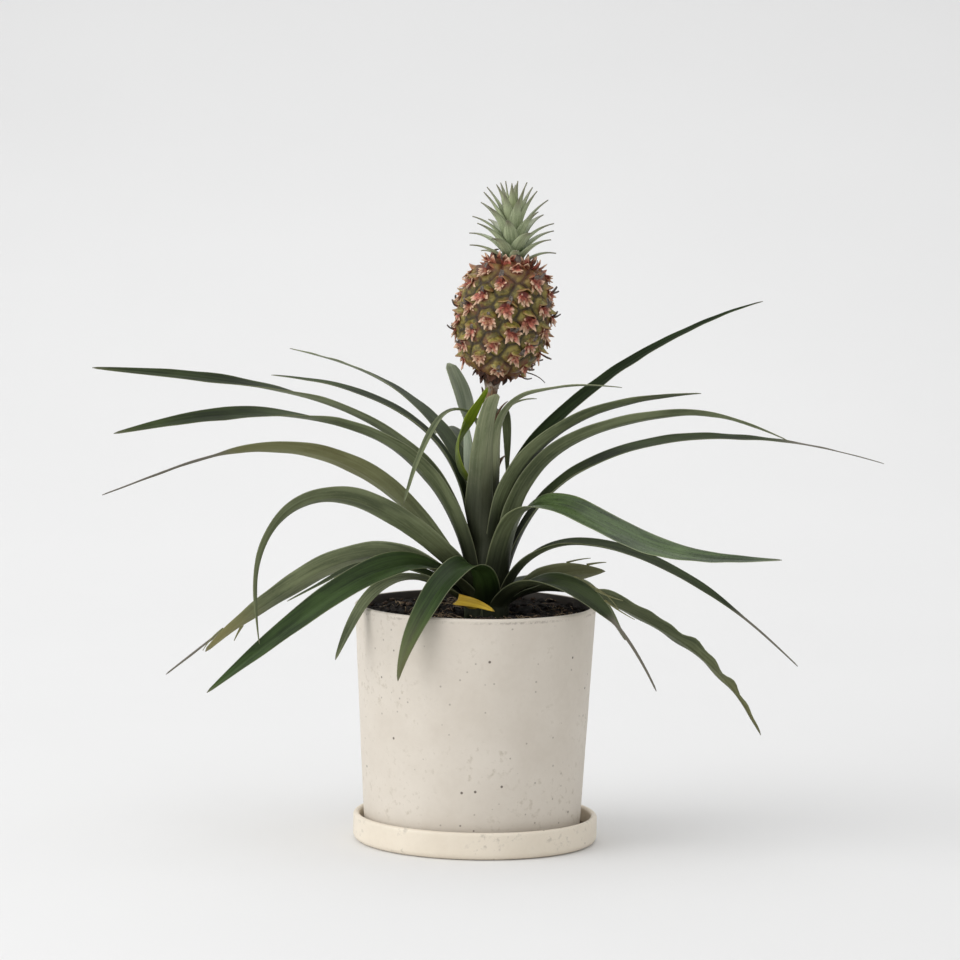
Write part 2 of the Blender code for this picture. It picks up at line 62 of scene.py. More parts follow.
# Leaves: cups are the half-angle of the channel in degrees, and steps, waves and periods are in mm
BLADE_MIDDLE = 0.8 * MM
BLADE_EDGE = 0.3 * MM
LEAF_TIP_WIDTH = 1.2
LEAF_TAIL_WIDTH = 3 * MM
LEAF_BLUNT_TIP = 4
LEAF_OPEN_BY = 0.25
LEAF_TAPER = 2.6
LEAF_COLS = 14
LEAF_STEP = 3
LEAF_STEPS = (20, 100)
CLASP = 1.7
CUP_ROOT, CUP_TIP, CUP_CHANGE = 42, 20, 5
CUP_OPEN_BY = 0.08
LEAST_WAVE = 0.4
CALM_PERIOD, WAVED_PERIOD = 9, 6
FOLD_DEPTH, FOLD_WIDTH = 0.035, 0.16
SHEATH = 24 * MM
SHEATH_FOOT = 128 * MM
SHEATH_ROWS = 8
SHRED_STEPS = 14

# Saucer, pot and mix
SAUCER_RADIUS = 76 * MM
SAUCER_HEIGHT = 17 * MM
SAUCER_WALL = 3.8 * MM
SAUCER_FLOOR = 5 * MM
SAUCER_FILLET = 3 * MM
HEEL = 4 * MM
POT_X = -2 * MM
POT_FOOT = SAUCER_FLOOR + GAP
POT_TOP = 148 * MM
POT_RIM_RADIUS = 75 * MM
POT_FOOT_RADIUS = 67 * MM
POT_WALL = 4.2 * MM
POT_FLOOR = 6 * MM
POT_LIP = 1.5 * MM
POT_WOBBLE = 0.25 * MM
DRAIN_RADIUS = 8 * MM
LIP_LINE = (POT_TOP - 2.8 * MM, POT_TOP - 2.2 * MM)
ROUND_STEPS = 256
MIX_TOP = 143 * MM
MIX_DISH = 5 * MM
MIX_DISH_REACH = 28 * MM
MIX_HOLE_RADIUS = 13 * MM
MIX_PLAY = 0.5 * MM
MIX_STEPS = 240
MIX_RINGS = 62
MIX_LUMPS = ((2.2, 16 * MM), (1.5, 5 * MM), (0.9, 2.2 * MM))
BARK_BITS = 420
BARK_SHARE = 0.3
FIBRES = 90

# Fruit and crown
FRUIT_FOOT = Vector((6.5 * MM, 0, 291 * MM))
FRUIT_LEAN = radians(9)
FRUIT_LENGTH = 70 * MM
FRUIT_RADIUS = 26.5 * MM
FRUIT_ROUNDNESS = (2.1, 2.6)
FRUIT_END = radians(78)
SKIN_ROWS, SKIN_COLS = 130, 220
EYES = 60
EYES_FROM, EYES_TO = -62, 66
EYE_RISE = 2.6 * MM
EYE_SIZE = 1 * MM
REMNANT_SHARE = 0.6
BRACT_STEPS = 8
BRACT_THICKNESS = 0.5 * MM
CROWN_LEAN = radians(-2)
CROWN_LEAVES = 40
CROWN_HEIGHT = 52 * MM
CROWN_CORE_RADIUS = 7.5 * MM
CROWN_STEPS, CROWN_COLS = 16, 8
CROWN_MIDDLE, CROWN_EDGE = 0.75 * MM, 0.45 * MM

# Camera and light
CAMERA_TARGET = (-0.0006, 0, 0.2253)
CAMERA_DISTANCE = 2.814
CAMERA_PITCH = 5.8
CAMERA_TILT = 1
CAMERA_LENS = 170.2
CAMERA_SENSOR = 36
WORLD_STRENGTH = 0.64

# Each lamp: its place, size, power and what it aims at
LAMPS = {
    "key": ((-2.3, -1.2, 1.3), 2.8, 46, (0, 0, 0.2)),
    "fill": ((1.9, -1.7, 1), 1.8, 2, (0, 0, 0.2)),
    "top": ((0, 0.1, 2.4), 2.8, 16, (0, 0, 0.2)),
    "wall": ((0, 1.4, 1.5), 1.4, 4, (0, 2, 0)),
}

# The sweep: its front edge, where it starts to bend, the bend's radius, its top and its half width
SWEEP_FRONT, SWEEP_BEND, SWEEP_RADIUS, SWEEP_TOP, SWEEP_HALF = -14, 0.9, 3.2, 5, 14

# Colours of a leaf's pale margin, of its shaded foot, and of blades that age and wither
PALE_MARGIN = (150, 154, 118)
LEAF_FOOT_SHADE = (16, 20, 10)
AGED_GREEN = (138, 131, 84)
WITHERED = (112, 108, 96)

# Families of blade faces: dark and light colour, roughness, share of grey scales, sheen, and any other margin
FAMILIES = {
    "dark": ((26, 34, 16), (56, 68, 36), 0.42, 0.15, 0.18),
    "black": ((14, 24, 8), (38, 52, 24), 0.5, 0.05, 0.05),
    "pale": ((136, 150, 126), (182, 192, 166), 0.5, 0.4, 0.25),
    "vivid": ((28, 42, 16), (58, 80, 36), 0.38, 0.15, 0.25),
    "mid": ((30, 44, 20), (80, 100, 58), 0.26, 0.15, 0.5),
    "grey": ((64, 72, 46), (112, 120, 86), 0.5, 0.3, 0.25),
    "silver": ((110, 119, 86), (160, 165, 130), 0.5, 0.4, 0.25),
    "olive": ((88, 86, 46), (128, 124, 80), 0.5, 0.2, 0.25, (120, 96, 72)),
    "bright": ((112, 140, 18), (162, 186, 52), 0.42, 0.1, 0.25, (150, 160, 70)),
    "golden": ((178, 142, 28), (216, 184, 64), 0.5, 0.15, 0.25, (168, 128, 50)),
}


def leaf(root, z, length, width, rise, roll=(0, 0), turn=(0, 0), look="dark grey", **more):
    """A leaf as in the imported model, with its looks. Lengths are in mm, and angles in degrees.

    look: families of its upper and under face; root, z: azimuth and height of the root; rise: the midrib's
    angle above level at even steps; roll: twist about it; turn: swing of the azimuth; tip: its width; taper: how
    late the blade narrows; dry: share that is a thin dead tip; wave: height of the edge's waves; aged: from and
    to where it yellows, and how much; shaded: how dark the foot is, and over which share; torn: strips that
    stand off a margin, by their share along the leaf, side, length and spread.
    """
    plain = dict(
        tip=LEAF_TIP_WIDTH, taper=LEAF_TAPER, dry=0, wave=0, aged=(0.9, 1.2, 0.5), shaded=(0.8, 0.2), torn=()
    )
    return SimpleNamespace(
        look=(look.split() * 2)[:2], root=root, z=z, length=length, width=width, rise=rise, roll=roll, turn=turn,
        **{**plain, **more},
    )


LEAVES = (
    # long arching leaves of the left side
    leaf(172, 173, 290, 15, (85, 60, 38, 23, 11, 7, 4, 3), (0, 30, 20, -35, -45), (0, 6), taper=3.5),
    leaf(203, 164, 276, 17, (82, 65, 45, 20, 8, -2, -11, -13), (0, 30, 20, -40, -45), (0, -16, -18), taper=4),
    leaf(190, 158, 272, 20, (58, 52, 41, 21, 3, -13, -19, -18), (0, 40, 50, 40), (0, 14), dry=0.28,
         aged=(0.1, 0.45, 0.38), shaded=(0.5, 0.15), look="grey"),
    leaf(230, 155, 247, 18, (48, 39, 32, 23, -8, -56, -90, -98), (0, 40, 45, 30), (0, -22, -24), taper=4),
    leaf(116, 178, 276, 14, (74, 61, 34, 22, 15, 9, 5, 4), (0, 0, 20, 25), (0, 8, 12), taper=2),
    leaf(160, 185, 192, 13, (78, 76, 56, 35, 22, 13, 5, 3), (0, 10, -10, -10), (0, -6), taper=3),
    leaf(190, 246, 108, 6, (80, 68, 6, -40, -52, -58, -62, -66), turn=(0, 38, 46), shaded=(0.2, 0.1),
         look="grey"),
    # lower leaves of the left side
    leaf(156, 152.5, 211, 21, (50, 22, -3, -18, -31, -34, -37, -44), (0, 45, 45, 30), tip=3, taper=3,
         aged=(0.72, 0.95, 0.8), torn=((0.9, 1, 20, 0.1), (0.86, -1, 12, 0.25)), look="vivid grey"),
    leaf(136, 147, 290, 16, (40, 14, 0, -21, -32, -33, -35, -36), (0, 20, 30, 30), (0, 6, 10), dry=0.3,
         look="dark olive"),
    leaf(169, 150.5, 125, 11, (32, 30, 17, 3, -13, -30, -30, -28), (0, -20, -20)),
    leaf(213, 151, 213, 22, (56, 26, -8, -23, -29, -32, -33, -34), (0, -35, -40, -40), (0, 0), taper=2.4,
         look="vivid grey"),
    leaf(202, 148.5, 118, 12, (34, 31, 16, -8, -36, -56, -62, -66), (0, -20, -30), (0, 10), taper=3.5,
         look="grey"),
    leaf(266, 148, 140, 19, (64, 52, 18, -26, -48, -56, -66, -80), (0, -20, -20), (0, -42, -56), taper=4,
         aged=(0.6, 1, 0.3), look="vivid"),
    # leaves of the right side
    leaf(298, 215, 133, 10, (85, 86, 86, 54, 16, 10, 0, -4), (0, -10, -10), (0, 36, 50, 52), look="silver"),
    leaf(38, 200, 262, 17, (76, 51, 36, 31, 24, 20, 16, 10), (0, 10, 10), taper=1.4, look="black"),
    leaf(306, 188, 177, 18, (80, 71, 54, 39, 28, 15, 8, 4), (0, -20, -30, -25), (0, 42, 64)),
    leaf(324, 168, 240, 17, (84, 76, 51, 27, 15, 6, -15, -23), (0, -25, -30, -20), (0, 20, 26)),
    leaf(1, 164, 287, 15, (82, 58, 31, 14, 2, -5, -12, -16), (0, 15, 20, 10), (0, 12, 15), taper=3, dry=0.22),
    leaf(299, 155, 283, 21, (84, 62, 8, -14, -14, -4, 4, 6), (0, 25, 35, 25), (0, 14, 20), taper=3,
         look="mid grey"),
    leaf(340, 152, 224, 16, (80, 37, 1, -14, -24, -32, -38, -41), (0, 10, 20, 10), (0, 3), dry=0.2),
    leaf(318, 147, 148, 25, (58, 26, 0, -18, -32, -44, -54, -60), (0, 15, 20), (0, 10), taper=4, dry=0.34,
         torn=((0.36, 1, 22, 0.12), (0.44, 1, 26, 0.1), (0.5, 1, 20, 0.14), (0.56, 1, 24, 0.08))),
    leaf(12, 147.5, 202, 22, (40, -2, -18, -27, -32, -42, -54, -62), (0, -25, -30, -20), (0, -3), taper=2.2,
         wave=2, aged=(0.6, 1, 0.4), look="mid grey"),
    leaf(30, 152, 75, 19, (26, 24, 16, 9, 2, 0, 2, 4), (0, -50, -60, -55), taper=4, aged=(0, 0.6, 0.3),
         torn=((0.45, 1, 18, 0.3), (0.6, -1, 16, 0.3), (0.7, 1, 14, 0.4), (0.8, -1, 13, 0.25))),
    # middle leaves and bracts round the stalk of the fruit
    leaf(128, 202, 100, 22, (54, 60, 76, 90, 88, 78, 66, 56), (0, 20, 45, 50, 30, 0, -10, -15), (0, 20, 26),
         tip=9, taper=5, shaded=(0.3, 0.5), look="pale"),
    leaf(242, 186, 98, 19, (80, 83, 83, 83, 83, 80, 70, 50), turn=(0, 46, 62, 66), tip=10, taper=2.2,
         shaded=(0.85, 0.75), look="silver"),
    leaf(15, 246, 45, 8, (88, 86, 80, 65, 45, 25, 10, 0), turn=(0, -20), look="silver"),
    leaf(66, 225, 94, 9, (88, 88, 84, 60, -60, -84, -88, -88), look="grey"),
    leaf(205, 220, 78, 14, (26, 42, 74, 98, 116, 124, 128, 126), turn=(0, -15, -60, -66), tip=3, taper=5,
         shaded=(0.75, 0.8), look="bright"),
    # leaves of the far side
    leaf(104, 166, 220, 16, (80, 60, 42, 25, 8, -8, -20, -30)),
    leaf(62, 145, 200, 17, (30, 8, 0, -6, -18, -30, -38, -42)),
    leaf(100, 143, 205, 18, (28, 8, 0, -5, -14, -26, -36, -42)),
    leaf(86, 157, 190, 16, (60, 30, 8, -5, -20, -32, -40, -45)),
    # a yellow dying leaf that lies in front of the stem
    leaf(226, 146, 58, 8, (32, 22, 14, 8, 2, -6, -16, -24), (0, 45, 65, 65, 50), (0, 30, 96, 118), taper=4,
         shaded=(0, 0.1), look="golden"),
)


# ---- shader helpers


def srgb(red, green, blue):
    """A linear colour from 0 to 255 values."""
    parts = [value / 255 for value in (red, green, blue)]
    return tuple(v / 12.92 if v <= 0.04045 else ((v + 0.055) / 1.055) ** 2.4 for v in parts)


class Paint:
    """A material whose colour is laid on in coats; values are numbers, colours or nodes' outputs."""

    def __init__(self, name, colour, rough, gloss=None, mapped=False):
        """mapped: patterns follow a blade's own flat coordinates in mm."""
        self.made = bpy.data.materials.new(name)
        self.made.use_nodes = True
        self.tree = self.made.node_tree
        self.shader = self.tree.nodes["Principled BSDF"]
        self.colour = colour
        self.place = self.read("blade", "Vector") if mapped else self.node("TexCoord").outputs["Object"]
        self.feed(self.shader.inputs["Roughness"], rough)
        if gloss is not None:
            self.feed(self.shader.inputs["Specular IOR Level"], gloss)

    def feed(self, socket, value):
        if isinstance(value, bpy.types.NodeSocket):
            self.tree.links.new(value, socket)
        else:
            socket.default_value = (*srgb(*value), 1) if socket.type == "RGBA" else value

    def node(self, kind, **values):
        """Adds a node: keys name inputs to feed, or properties."""
        made = self.tree.nodes.new("ShaderNode" + kind)
        for key, value in values.items():
            socket = made.inputs.get(key.replace("_", " "))
            if socket is None:
                setattr(made, key, value)
            else:
                self.feed(socket, value)
        return made

    def read(self, name, output="Fac"):
        """A point attribute of the mesh."""
        return self.node("Attribute", attribute_name=name).outputs[output]

    def noise(self, scale, detail=4, rough=0.6, distortion=0):
        """Noise; three factors as its scale stretch it."""
        place = self.place
        if isinstance(scale, tuple):
            place, scale = self.node("Mapping", Vector=place, Scale=scale).outputs["Vector"], 1
        made = self.node("TexNoise", Vector=place, Scale=scale, Detail=detail)
        made.inputs["Roughness"].default_value = rough
        made.inputs["Distortion"].default_value = distortion
        return made.outputs["Fac"]

    def ramp(self, value, start, end, top=1):
        """A soft S from 0 at start to top at end; start may be the higher of the two."""
        made = self.node("MapRange", interpolation_type="SMOOTHSTEP", Value=value)
        for socket, number in zip(made.inputs[1:], (start, end, 0, top)):
            socket.default_value = number
        return made.outputs["Result"]

    def math(self, operation, *values):
        made = self.node("Math", operation=operation)
        for socket, value in zip(made.inputs, values):
            self.feed(socket, value)
        return made.outputs["Value"]

    def total(self, first, weight, second, other):
        """The sum of two values with their weights."""
        return self.math("ADD", self.math("MULTIPLY", first, weight), self.math("MULTIPLY", second, other))

    def margin(self):
        """0 on a strip's midline and 1 at its edges."""
        return self.math("ABSOLUTE", self.read("edge"))

    def coat(self, colour, share, *ends):
        """Lays a colour on, as thickly as share, or a ramp of it, says."""
        made = self.node("Mix", data_type="RGBA")
        self.feed(made.inputs["Factor"], self.ramp(share, *ends) if ends else share)
        sockets = [socket for socket in made.inputs if socket.type == "RGBA"]
        self.feed(sockets[0], self.colour)
        self.feed(sockets[1], colour)
        self.colour = made.outputs[2]

    def finish(self, relief=None, strength=0, depth=0):
        """The material, with a relief whose depth is in mm."""
        self.feed(self.shader.inputs["Base Color"], self.colour)
        if relief is not None:
            bump = self.node("Bump", Height=relief, Strength=strength, Distance=depth * MM)
            self.feed(self.shader.inputs["Normal"], bump.outputs["Normal"])
        return self.made


def layered(name, colour, rough, relief, *coats, gloss=None):
    """A material from coats: colour, attribute or noise to follow, and limits. The first noise is its relief."""
    paint = Paint(name, colour, rough, gloss)
    grains = []
    for coat, source, *ends in coats:
        if isinstance(source, str):
            share = paint.read(source)
        else:
            share = paint.noise(*source)
            grains.append(share)
        paint.coat(coat, share, *ends)
    return paint.finish(grains[0], *relief)


# ---- mesh helpers


class Heap:
    """Gathers patches of faces into one mesh."""

    def __init__(self):
        self.points, self.faces, self.slots, self.values, self.count = [], [], [], {}, 0

    def add(self, points, faces, slots, **values):
        """slots: one material slot, or one for each face; an attribute that isn't given is 0."""
        points = np.reshape(points, (-1, 3))
        self.points.append(points)
        self.faces += [tuple(int(i) + self.count for i in face) for face in faces]
        self.slots += [slots] * len(faces) if isinstance(slots, int) else slots
        for key, value in values.items():
            self.values.setdefault(key, []).append((self.count, len(points), value))
        self.count += len(points)

    def plate(self, grid, thickness, slots, carry=None, **values):
        """Adds a thin closed plate about a grid of points; slots are those of its upper and lower face.

        carry moves its points, and an attribute with a value for each row is spread over both faces.
        """
        rows, cols = grid.shape[:2]
        points, faces, sides = shell(grid, thickness)
        values = {"along": np.linspace(0, 1, rows), **values}
        for key, value in values.items():
            if np.shape(value) == (rows,):
                values[key] = np.tile(np.repeat(value, cols), 2)
        values["edge"] = np.tile(np.linspace(-1, 1, cols), 2 * rows)
        self.add(carry(points) if carry else points, faces, [slots[side] for side in sides], **values)

    def mesh(self, name):
        made = bpy.data.meshes.new(name)
        made.from_pydata(np.vstack(self.points).tolist(), [], self.faces)
        made.shade_smooth()
        made.polygons.foreach_set("material_index", self.slots)
        for key, parts in self.values.items():
            kind, field, width = ("FLOAT_VECTOR", "vector", 3) if key == "blade" else ("FLOAT", "value", 1)
            flat = np.zeros((self.count, width), np.float32)
            for first, size, value in parts:
                flat[first:first + size] = value if width > 1 else np.reshape(value, (-1, 1))
            made.attributes.new(key, kind, "POINT").data.foreach_set(field, flat.ravel())
        made.update()
        return made


def shown(name, data):
    """Puts a mesh, lamp or camera into the scene."""
    made = bpy.data.objects.new(name, data)
    bpy.context.scene.collection.objects.link(made)
    return made


def piece(name, mesh, materials, node):
    """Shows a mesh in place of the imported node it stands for."""
    made = shown("plant_" + name, mesh)
    for material in materials:
        mesh.materials.append(material)
    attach(made, "root")
    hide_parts(node)


def unit(vectors):
    return vectors / np.maximum(np.linalg.norm(vectors, axis=-1, keepdims=True), 1e-12)


def swung(first, second, angle):
    """Two directions at right angles, swung by an angle from the first towards the second."""
    return first * np.cos(angle) + second * np.sin(angle), second * np.cos(angle) - first * np.sin(angle)


def walked(start, along, steps):
    """A path of points from its start, its directions at each point and the lengths of its steps."""
    runs = (along[1:] + along[:-1]) / 2 * steps
    return start + np.vstack([np.zeros(3), np.cumsum(runs, axis=0)])


def shell(grid, thickness):
    """A thin closed plate about a grid: its points, its faces, and 1 for each lower face or 0."""
    rows, cols = grid.shape[:2]
    normal = unit(np.cross(np.gradient(grid, axis=0), np.gradient(grid, axis=1)))
    offset = normal * (np.broadcast_to(thickness, (rows, cols))[:, :, None] / 2)
    points = np.concatenate([(grid + offset).reshape(-1, 3), (grid - offset).reshape(-1, 3)])
    low = rows * cols
    index = np.arange(low).reshape(rows, cols)
    a, b, c, d = index[:-1, :-1], index[1:, :-1], index[1:, 1:], index[:-1, 1:]
    upper = np.stack([a, b, c, d], -1).reshape(-1, 4)
    lower = np.stack([a, d, c, b], -1).reshape(-1, 4) + low
    left, right, first, last = index[:, 0], index[:, -1], index[0], index[-1]
    rims = [np.stack([p[:-1], p[:-1] + low, p[1:] + low, p[1:]], -1) for p in (left, last)]
    rims += [np.stack([p[:-1], p[1:], p[1:] + low, p[:-1] + low], -1) for p in (right, first)]
    slots = [0] * len(upper) + [1] * len(lower) + [0] * sum(len(rim) for rim in rims)
    return points, np.concatenate([upper, lower, *rims]), slots


def unrolled(width, run, cols, layer):
    """A plate's flat coordinates in mm: across, along, and a pattern layer."""
    flat = np.full((len(run), cols + 1, 3), float(layer))
    flat[:, :, 0] = np.linspace(-1, 1, cols + 1) * width[:, None] / 2 / MM
    flat[:, :, 1] = run[:, None]
    return np.tile(flat.reshape(-1, 3), (2, 1))


def ribbon(path, across, normal, width, cup, cols):
    """A grid of points about a path, with cross-sections that are arcs of half-angle cup."""
    cup = np.broadcast_to(cup, len(path))
    angle = cup[:, None] * np.linspace(-1, 1, cols + 1)
    bend = (width / 2 / cup)[:, None]
    return (
        path[:, None] + across[:, None] * (bend * np.sin(angle))[:, :, None]
        + normal[:, None] * (bend * (1 - np.cos(angle)))[:, :, None]
    )


def curled(start, direction, normal, length, steps, curl):
    """A path that bends towards its normal by curl: points, across and normals."""
    direction = unit(np.array(direction, float))
    side = unit(np.cross(normal, direction))
    angles = curl * np.linspace(0, 1, steps + 1)[:, None] ** 1.3
    along, normals = swung(direction, np.cross(direction, side), angles)
    return walked(np.array(start), along, length / steps), np.tile(side, (steps + 1, 1)), normals


def rows_after(rows, cols):
    """Indices of a round grid's points, and of each point's neighbour in its row."""
    index = np.arange(rows * cols).reshape(rows, cols)
    return index, np.roll(index, -1, axis=1)


def round_faces(rows, cols, pointed=False):
    """Faces of a closed round body with flat ends, or ends at the two points that follow its rows."""
    index, after = rows_after(rows, cols)
    faces = np.stack([index[:-1], after[:-1], after[1:], index[1:]], -1).reshape(-1, 4).tolist()
    if not pointed:
        return faces + [index[0, ::-1].tolist(), index[-1].tolist()]
    faces += [(rows * cols, b, a) for a, b in zip(index[0], after[0])]
    return faces + [(rows * cols + 1, a, b) for a, b in zip(index[-1], after[-1])]


def turned(outline, steps, centre_x=0):
    """Rows of points: an outline of (distance, height), turned about an upright axis."""
    around = np.array([outward(angle) for angle in np.linspace(0, 2 * pi, steps, endpoint=False)])
    return np.array([distance * around + (centre_x, 0, z) for distance, z in outline])


def loop_faces(rows, cols):
    """Faces of a turned outline that closes on itself."""
    index, after = rows_after(rows, cols)
    below, below_after = np.roll(index, -1, axis=0), np.roll(after, -1, axis=0)
    return np.stack([index, after, below_after, below], -1).reshape(-1, 4)


def tube(heap, path, radii, sides, slot):
    """Adds a closed round tube about a path."""
    along = unit(np.gradient(path, axis=0))
    helper = (0.31, 0.2, 0.93) if abs(along[0, 2]) < 0.8 else (0.95, 0.3, 0.05)
    side = unit(np.cross(along, helper))[:, None]
    angles = np.linspace(0, 2 * pi, sides, endpoint=False)[:, None]
    ring, _ = swung(side, np.cross(along, side[:, 0])[:, None], angles)
    points = path[:, None] + ring * np.broadcast_to(radii, len(path))[:, None, None]
    heap.add(points, round_faces(len(path), sides), slot)


def arc(centre, radius, start, end, count):
    """Points of an arc, angles in degrees."""
    angles = np.radians(np.linspace(start, end, count + 1))
    return [(centre[0] + radius * cos(a), centre[1] + radius * sin(a)) for a in angles]


def waver(x, seed, waves=4):
    """Smooth bumps between about -1 and 1 along x, alike for a seed."""
    draw = np.random.default_rng(seed)
    total = 0
    for _ in range(waves):
        total = total + draw.uniform(0.4, 1) * np.sin(x * draw.uniform(0.6, 2.4) + draw.uniform(0, 2 * pi))
    return total / waves * 1.4


def smooth_step(value, low, high):
    """0 below low, 1 above high, and an even S between them."""
    share = np.clip((value - low) / (high - low), 0, 1)
    return share * share * (3 - 2 * share)


def outward(around):
    """The level direction at an angle about an upright axis."""
    return np.array([cos(around), sin(around), 0])


# ---- stem and leaves


def stem_radius(z):
    heights, radii = zip(*STEM_RADII)
    return np.interp(z / MM, heights, radii) * MM


def stem_x(z):
    """The stem leans over only in its last stretch, under the fruit."""
    lean_from = FRUIT_FOOT.z - 2 * (FRUIT_FOOT.x - STEM_X) / tan(FRUIT_LEAN)
    over = np.maximum(0, z - lean_from) / (FRUIT_FOOT.z - lean_from)
    return STEM_X + (FRUIT_FOOT.x - STEM_X) * over**2


def steps_at(values, share):
    """Reads evenly spaced values at shares of their span."""
    return np.interp(share, np.linspace(0, 1, len(values)), values)


def leaf_frame(leaf, share):
    """A leaf's midrib, with the directions across the blade and out of its upper face."""
    rise, roll = (np.radians(steps_at(values, share))[:, None] for values in (leaf.rise, leaf.roll))
    azimuth = np.radians(leaf.root + steps_at(leaf.turn, share))[:, None]
    out, side = swung(EAST, NORTH, azimuth)
    along, above = swung(out, UP, rise)
    z = leaf.z * MM
    root = np.array([stem_x(z), 0, z]) + out[0] * (stem_radius(z) + GAP + BLADE_MIDDLE / 2)
    return walked(root, along, (np.diff(share) * leaf.length * MM)[:, None]), *swung(side, above, roll)


def leaf_width(leaf, share):
    """Broad where the leaf clasps the stem, and tapering late to a long point or a rounded tip."""
    full, tip = leaf.width * MM, leaf.tip * MM
    clasp = min(1.15 * full, CLASP * stem_radius(leaf.z * MM))
    tail = LEAF_TAIL_WIDTH if leaf.dry else tip
    live = np.minimum(1, share / (1 - leaf.dry))
    opening = smooth_step(share, 0, LEAF_OPEN_BY)
    blade = (clasp + (full - clasp) * opening) * (1 - (1 - tail / full) * live**leaf.taper)
    withered = np.maximum(0, share - 1 + leaf.dry) / max(leaf.dry, 0.01)
    rounded = tip / leaf.length / MM / 2 if leaf.tip > LEAF_BLUNT_TIP else 1e-6
    end = np.clip((share - 1 + rounded) / rounded, 0, 0.97)
    return (blade + (tip - tail) * withered) * np.sqrt(1 - end**2)


def sheathed(leaf, number, midrib, across, normal):
    """Adds the stretch below the root that lies on the stem."""
    out = outward(radians(leaf.root))
    root_z = leaf.z * MM
    z = np.linspace(max(root_z - SHEATH, SHEATH_FOOT), root_z, SHEATH_ROWS + 1)[:-1]
    clear = GAP + BLADE_MIDDLE / 2 + GAP * (number % 4) * (root_z - z) / SHEATH
    foot = np.stack([stem_x(z), 0 * z, z], 1) + out * (stem_radius(z) + clear)[:, None]
    steady = (np.tile(direction, (SHEATH_ROWS, 1)) for direction in (np.cross(UP, out), -out))
    return [np.vstack(pair) for pair in zip((foot, *steady), (midrib, across, normal))]


def leaf_mesh(name, number, leaf):
    """A channelled blade with waved margins and thin edges."""
    count = int(np.clip(round(leaf.length / LEAF_STEP), *LEAF_STEPS))
    share = np.linspace(0, 1, count + 1)
    width = leaf_width(leaf, share) * (1 + 0.025 * waver(share * leaf.length / 22, number))
    midrib, across, normal = sheathed(leaf, number, *leaf_frame(leaf, share))
    below = np.arange(SHEATH_ROWS, 0, -1) * 2.6
    share = np.concatenate([np.zeros(SHEATH_ROWS), share])
    width = np.concatenate([width[0] * np.linspace(0.9, 1, SHEATH_ROWS + 1)[:-1], width])
    run = share * leaf.length - np.concatenate([below, np.zeros(count + 1)])
    # the channel fits the stem at the root and opens out
    near = np.clip(share / CUP_OPEN_BY, 0, 1)
    root_cup = width[0] / 2 / (stem_radius(leaf.z * MM) + GAP)
    cup = np.radians(CUP_ROOT + (CUP_TIP - CUP_ROOT) * share + CUP_CHANGE * waver(run / 30, 100 + number))
    grid = ribbon(midrib, across, normal, width, root_cup + (cup - root_cup) * near, LEAF_COLS)
    edge = np.linspace(-1, 1, LEAF_COLS + 1)
    waves = 1.1 * leaf.wave + LEAST_WAVE
    period = CALM_PERIOD if waves < 1 else WAVED_PERIOD
    for sign in (-1, 1):
        swing = waves * MM * waver(run / period, 200 + number * 2 + sign) * np.clip(share / 0.2, 0, 1)
        swing = swing * np.clip((1 - share) / 0.15, 0, 1)
        grid += normal[:, None] * (swing[:, None] * np.clip(sign * edge, 0, 1) ** 2)[:, :, None]
    fold = width[:, None] * FOLD_DEPTH * np.exp(-((edge / FOLD_WIDTH) ** 2)) * near[:, None]
    grid -= normal[:, None] * fold[:, :, None]
    thin = np.clip(1.15 - share, 0, 1)[:, None]
    thickness = BLADE_EDGE + (BLADE_MIDDLE - BLADE_EDGE) * (1 - edge**4) * thin
    layer = 37 * number
    start, end, amount = leaf.aged
    depth, reach = leaf.shaded
    never, at_tip = 1.5, 1.02
    heap = Heap()
    heap.plate(
        grid, thickness, (0, 1), blade=unrolled(width, run, LEAF_COLS, layer), along=share,
        dry=never if leaf.tip > LEAF_BLUNT_TIP else 1 - leaf.dry if leaf.dry else at_tip,
        aged=amount * smooth_step(share, start, end),
        shade=depth * (1 - smooth_step(share, 0.3 * reach, reach)),
    )
    draw = np.random.default_rng(400 + number)
    for at, sign, length, spread in leaf.torn:
        row = SHEATH_ROWS + round(at * count)
        ahead = unit(midrib[row + 1] - midrib[row - 1])
        heading = ahead + across[row] * sign * spread + normal[row] * draw.uniform(-0.2, 0.1)
        start = grid[row, -1 if sign > 0 else 0]
        bend = draw.uniform(-0.9, 0.3)
        path, sideways, up = curled(start, heading, normal[row], length * MM, SHRED_STEPS, bend)
        narrows = np.linspace(1, 0.12, SHRED_STEPS + 1) ** 0.8 * draw.uniform(1.2, 2.6) * MM
        shred = ribbon(path, sideways, up, narrows, 0.5, 3)
        heap.plate(shred, 0.3 * MM, (0, 1), blade=(0, 40, layer), dry=never, aged=0.5)
    return heap.mesh(name)


